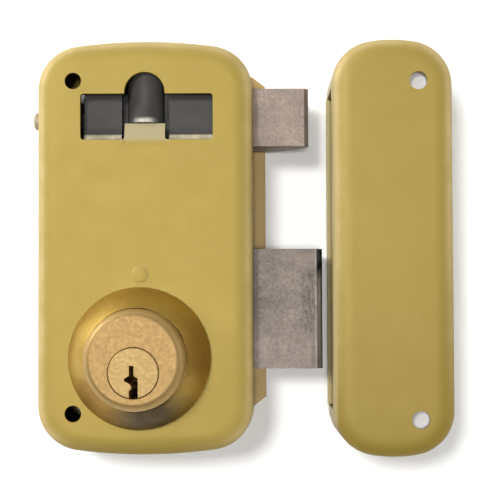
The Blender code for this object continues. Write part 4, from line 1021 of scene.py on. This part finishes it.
def makeLatchSpring():
    start, length = springLow.x, springHigh.x - springLow.x
    wire, count = coil["wire"], coil["turns"] * coil["perTurn"]
    forward = Vector((1, 0, 0))
    rings = []
    for i in range(count + 1):
        turn = math.tau * i / coil["perTurn"]
        outward = Vector((0, math.cos(turn), math.sin(turn)))
        x = start + wire + (length - 2 * wire) * i / count
        middle = Vector((x, rodY, rodZ)) + outward * coil["radius"]
        ring = []
        for k in range(coil["sides"]):
            angle = math.tau * k / coil["sides"]
            ring.append(tuple(middle + (outward * math.cos(angle) + forward * math.sin(angle)) * wire))
        rings.append(ring)
    piece = addPiece("latchSpring", loft(rings))
    for polygon in piece.data.polygons:
        polygon.use_smooth = len(polygon.vertices) == 4
    return piece


spring = makeLatchSpring()
dress(spring, workSteel, "lock_case", "steel", "latch_spring")
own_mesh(spring)
print("latch spring wound")

# CAD pieces that keep their own shape
innerBrass = turnedBrass("innerBrass", faceBrassLook, cylinderAxis)
kept = {
    latchSteel: ["latch_bolt"],
    plateFinish: ["base_plate"],
    keeperFinish: ["keeper_plate"],
    innerBrass: ["cylinder_nut"] + [f"{n}_{i}" for n in ("key_pin", "pin_cap") for i in range(1, 5)],
    zincFinish: ["spring_washer", "slide_screw_1", "slide_screw_2"],
}
dressed = {name for names in kept.values() for name in names}
kept[workSteel] = [name for name, node in nodes.items() if name not in dressed and not node.hide_render]
for finish, names in kept.items():
    for name in names:
        nodes[name].data.materials.clear()
        nodes[name].data.materials.append(finish)
keptEdges = {"merge": 0.01, "softness": 0.3}
for name in ("latch_bolt", "base_plate", "keeper_plate"):
    join = nodes[name].modifiers.new("join", "WELD")
    join.merge_threshold = keptEdges["merge"] * mm
    softEdges(nodes[name], keptEdges["softness"])
print("finishes on", sum(len(names) for names in kept.values()), "CAD pieces")

# floor, lights and camera
studio = {
    "floor": (0.93, 0.93, 0.925), "floorHalf": 8.0, "floorGap": 0.2, "floorGloss": 0.2,
    "floorRoughness": 0.8,
    "world": (1.0, 0.99, 0.97), "overhead": 0.13, "horizon": 1.0, "dusk": (0.04, 0.25), "aim": (0.03, 0, 0),
    "front": {"spot": (0.03, -0.26, 3.0), "spread": 10.0, "power": 1.40},
    "key": {"spot": (-0.90, 0.76, 3.0), "spread": 13.0, "power": 1.85},
    "left": {"spot": (-0.46, 0.30, 0.17), "size": 0.20, "power": 2.0},
    "right": {"spot": (0.93, 0.20, 0.5), "size": 0.50, "power": 1.2},
}
camera = {
    "spot": (0.0302, -0.022, 0.372), "tilt": 1.7, "roll": -0.25, "lens": 86.7, "sensor": 36,
    "shift": 0.0735, "clip": 0.01,
}


def addLight(name, light):
    if "spread" in light:  # a wide even light from far off
        lamp = bpy.data.lights.new(name, "SUN")
        lamp.angle = math.radians(light["spread"])
    else:
        lamp = bpy.data.lights.new(name, "AREA")
        lamp.size = light["size"]
    lamp.energy = light["power"]
    made = bpy.data.objects.new(name, lamp)
    made.location = light["spot"]
    aim = Vector(studio["aim"]) - made.location
    made.rotation_euler = aim.to_track_quat("-Z", "Y").to_euler()
    bpy.context.scene.collection.objects.link(made)


def makeStudio():
    bm = bmesh.new()
    bmesh.ops.create_grid(bm, x_segments=1, y_segments=1, size=studio["floorHalf"] / mm)
    bmesh.ops.translate(bm, verts=bm.verts, vec=(0, 0, -studio["floorGap"]))
    floor = addPiece("floor", bm)
    paper, _, shader = startFinish("floorPaper", {"metallic": 0.0, "gloss": studio["floorGloss"]})
    shader.inputs["Base Color"].default_value = (*studio["floor"], 1)
    shader.inputs["Roughness"].default_value = studio["floorRoughness"]
    floor.data.materials.append(paper)
    world = bpy.data.worlds.new("studioAir")
    bpy.context.scene.world = world
    world.use_nodes = True
    air = world.node_tree.nodes["Background"]
    air.inputs["Color"].default_value = (*studio["world"], 1)
    way = addNode(world.node_tree, "ShaderNodeTexCoord").outputs["Generated"]
    up = addNode(world.node_tree, "ShaderNodeSeparateXYZ", {0: way}).outputs["Z"]
    glow = ranged(world.node_tree, up, studio["dusk"], (studio["horizon"], studio["overhead"]))
    world.node_tree.links.new(glow, air.inputs["Strength"])
    for name in ("front", "key", "left", "right"):
        addLight(name + "Light", studio[name])
    eye = bpy.data.cameras.new("camera")
    eye.lens = camera["lens"]
    eye.sensor_width = camera["sensor"]
    eye.shift_y = camera["shift"]  # the photo is taken from a little below the middle
    eye.clip_start = camera["clip"]
    stand = bpy.data.objects.new("camera", eye)
    stand.location = camera["spot"]
    stand.rotation_euler = (math.radians(camera["tilt"]), 0, math.radians(camera["roll"]))
    bpy.context.scene.collection.objects.link(stand)
    bpy.context.scene.camera = stand


makeStudio()
print("studio lit")
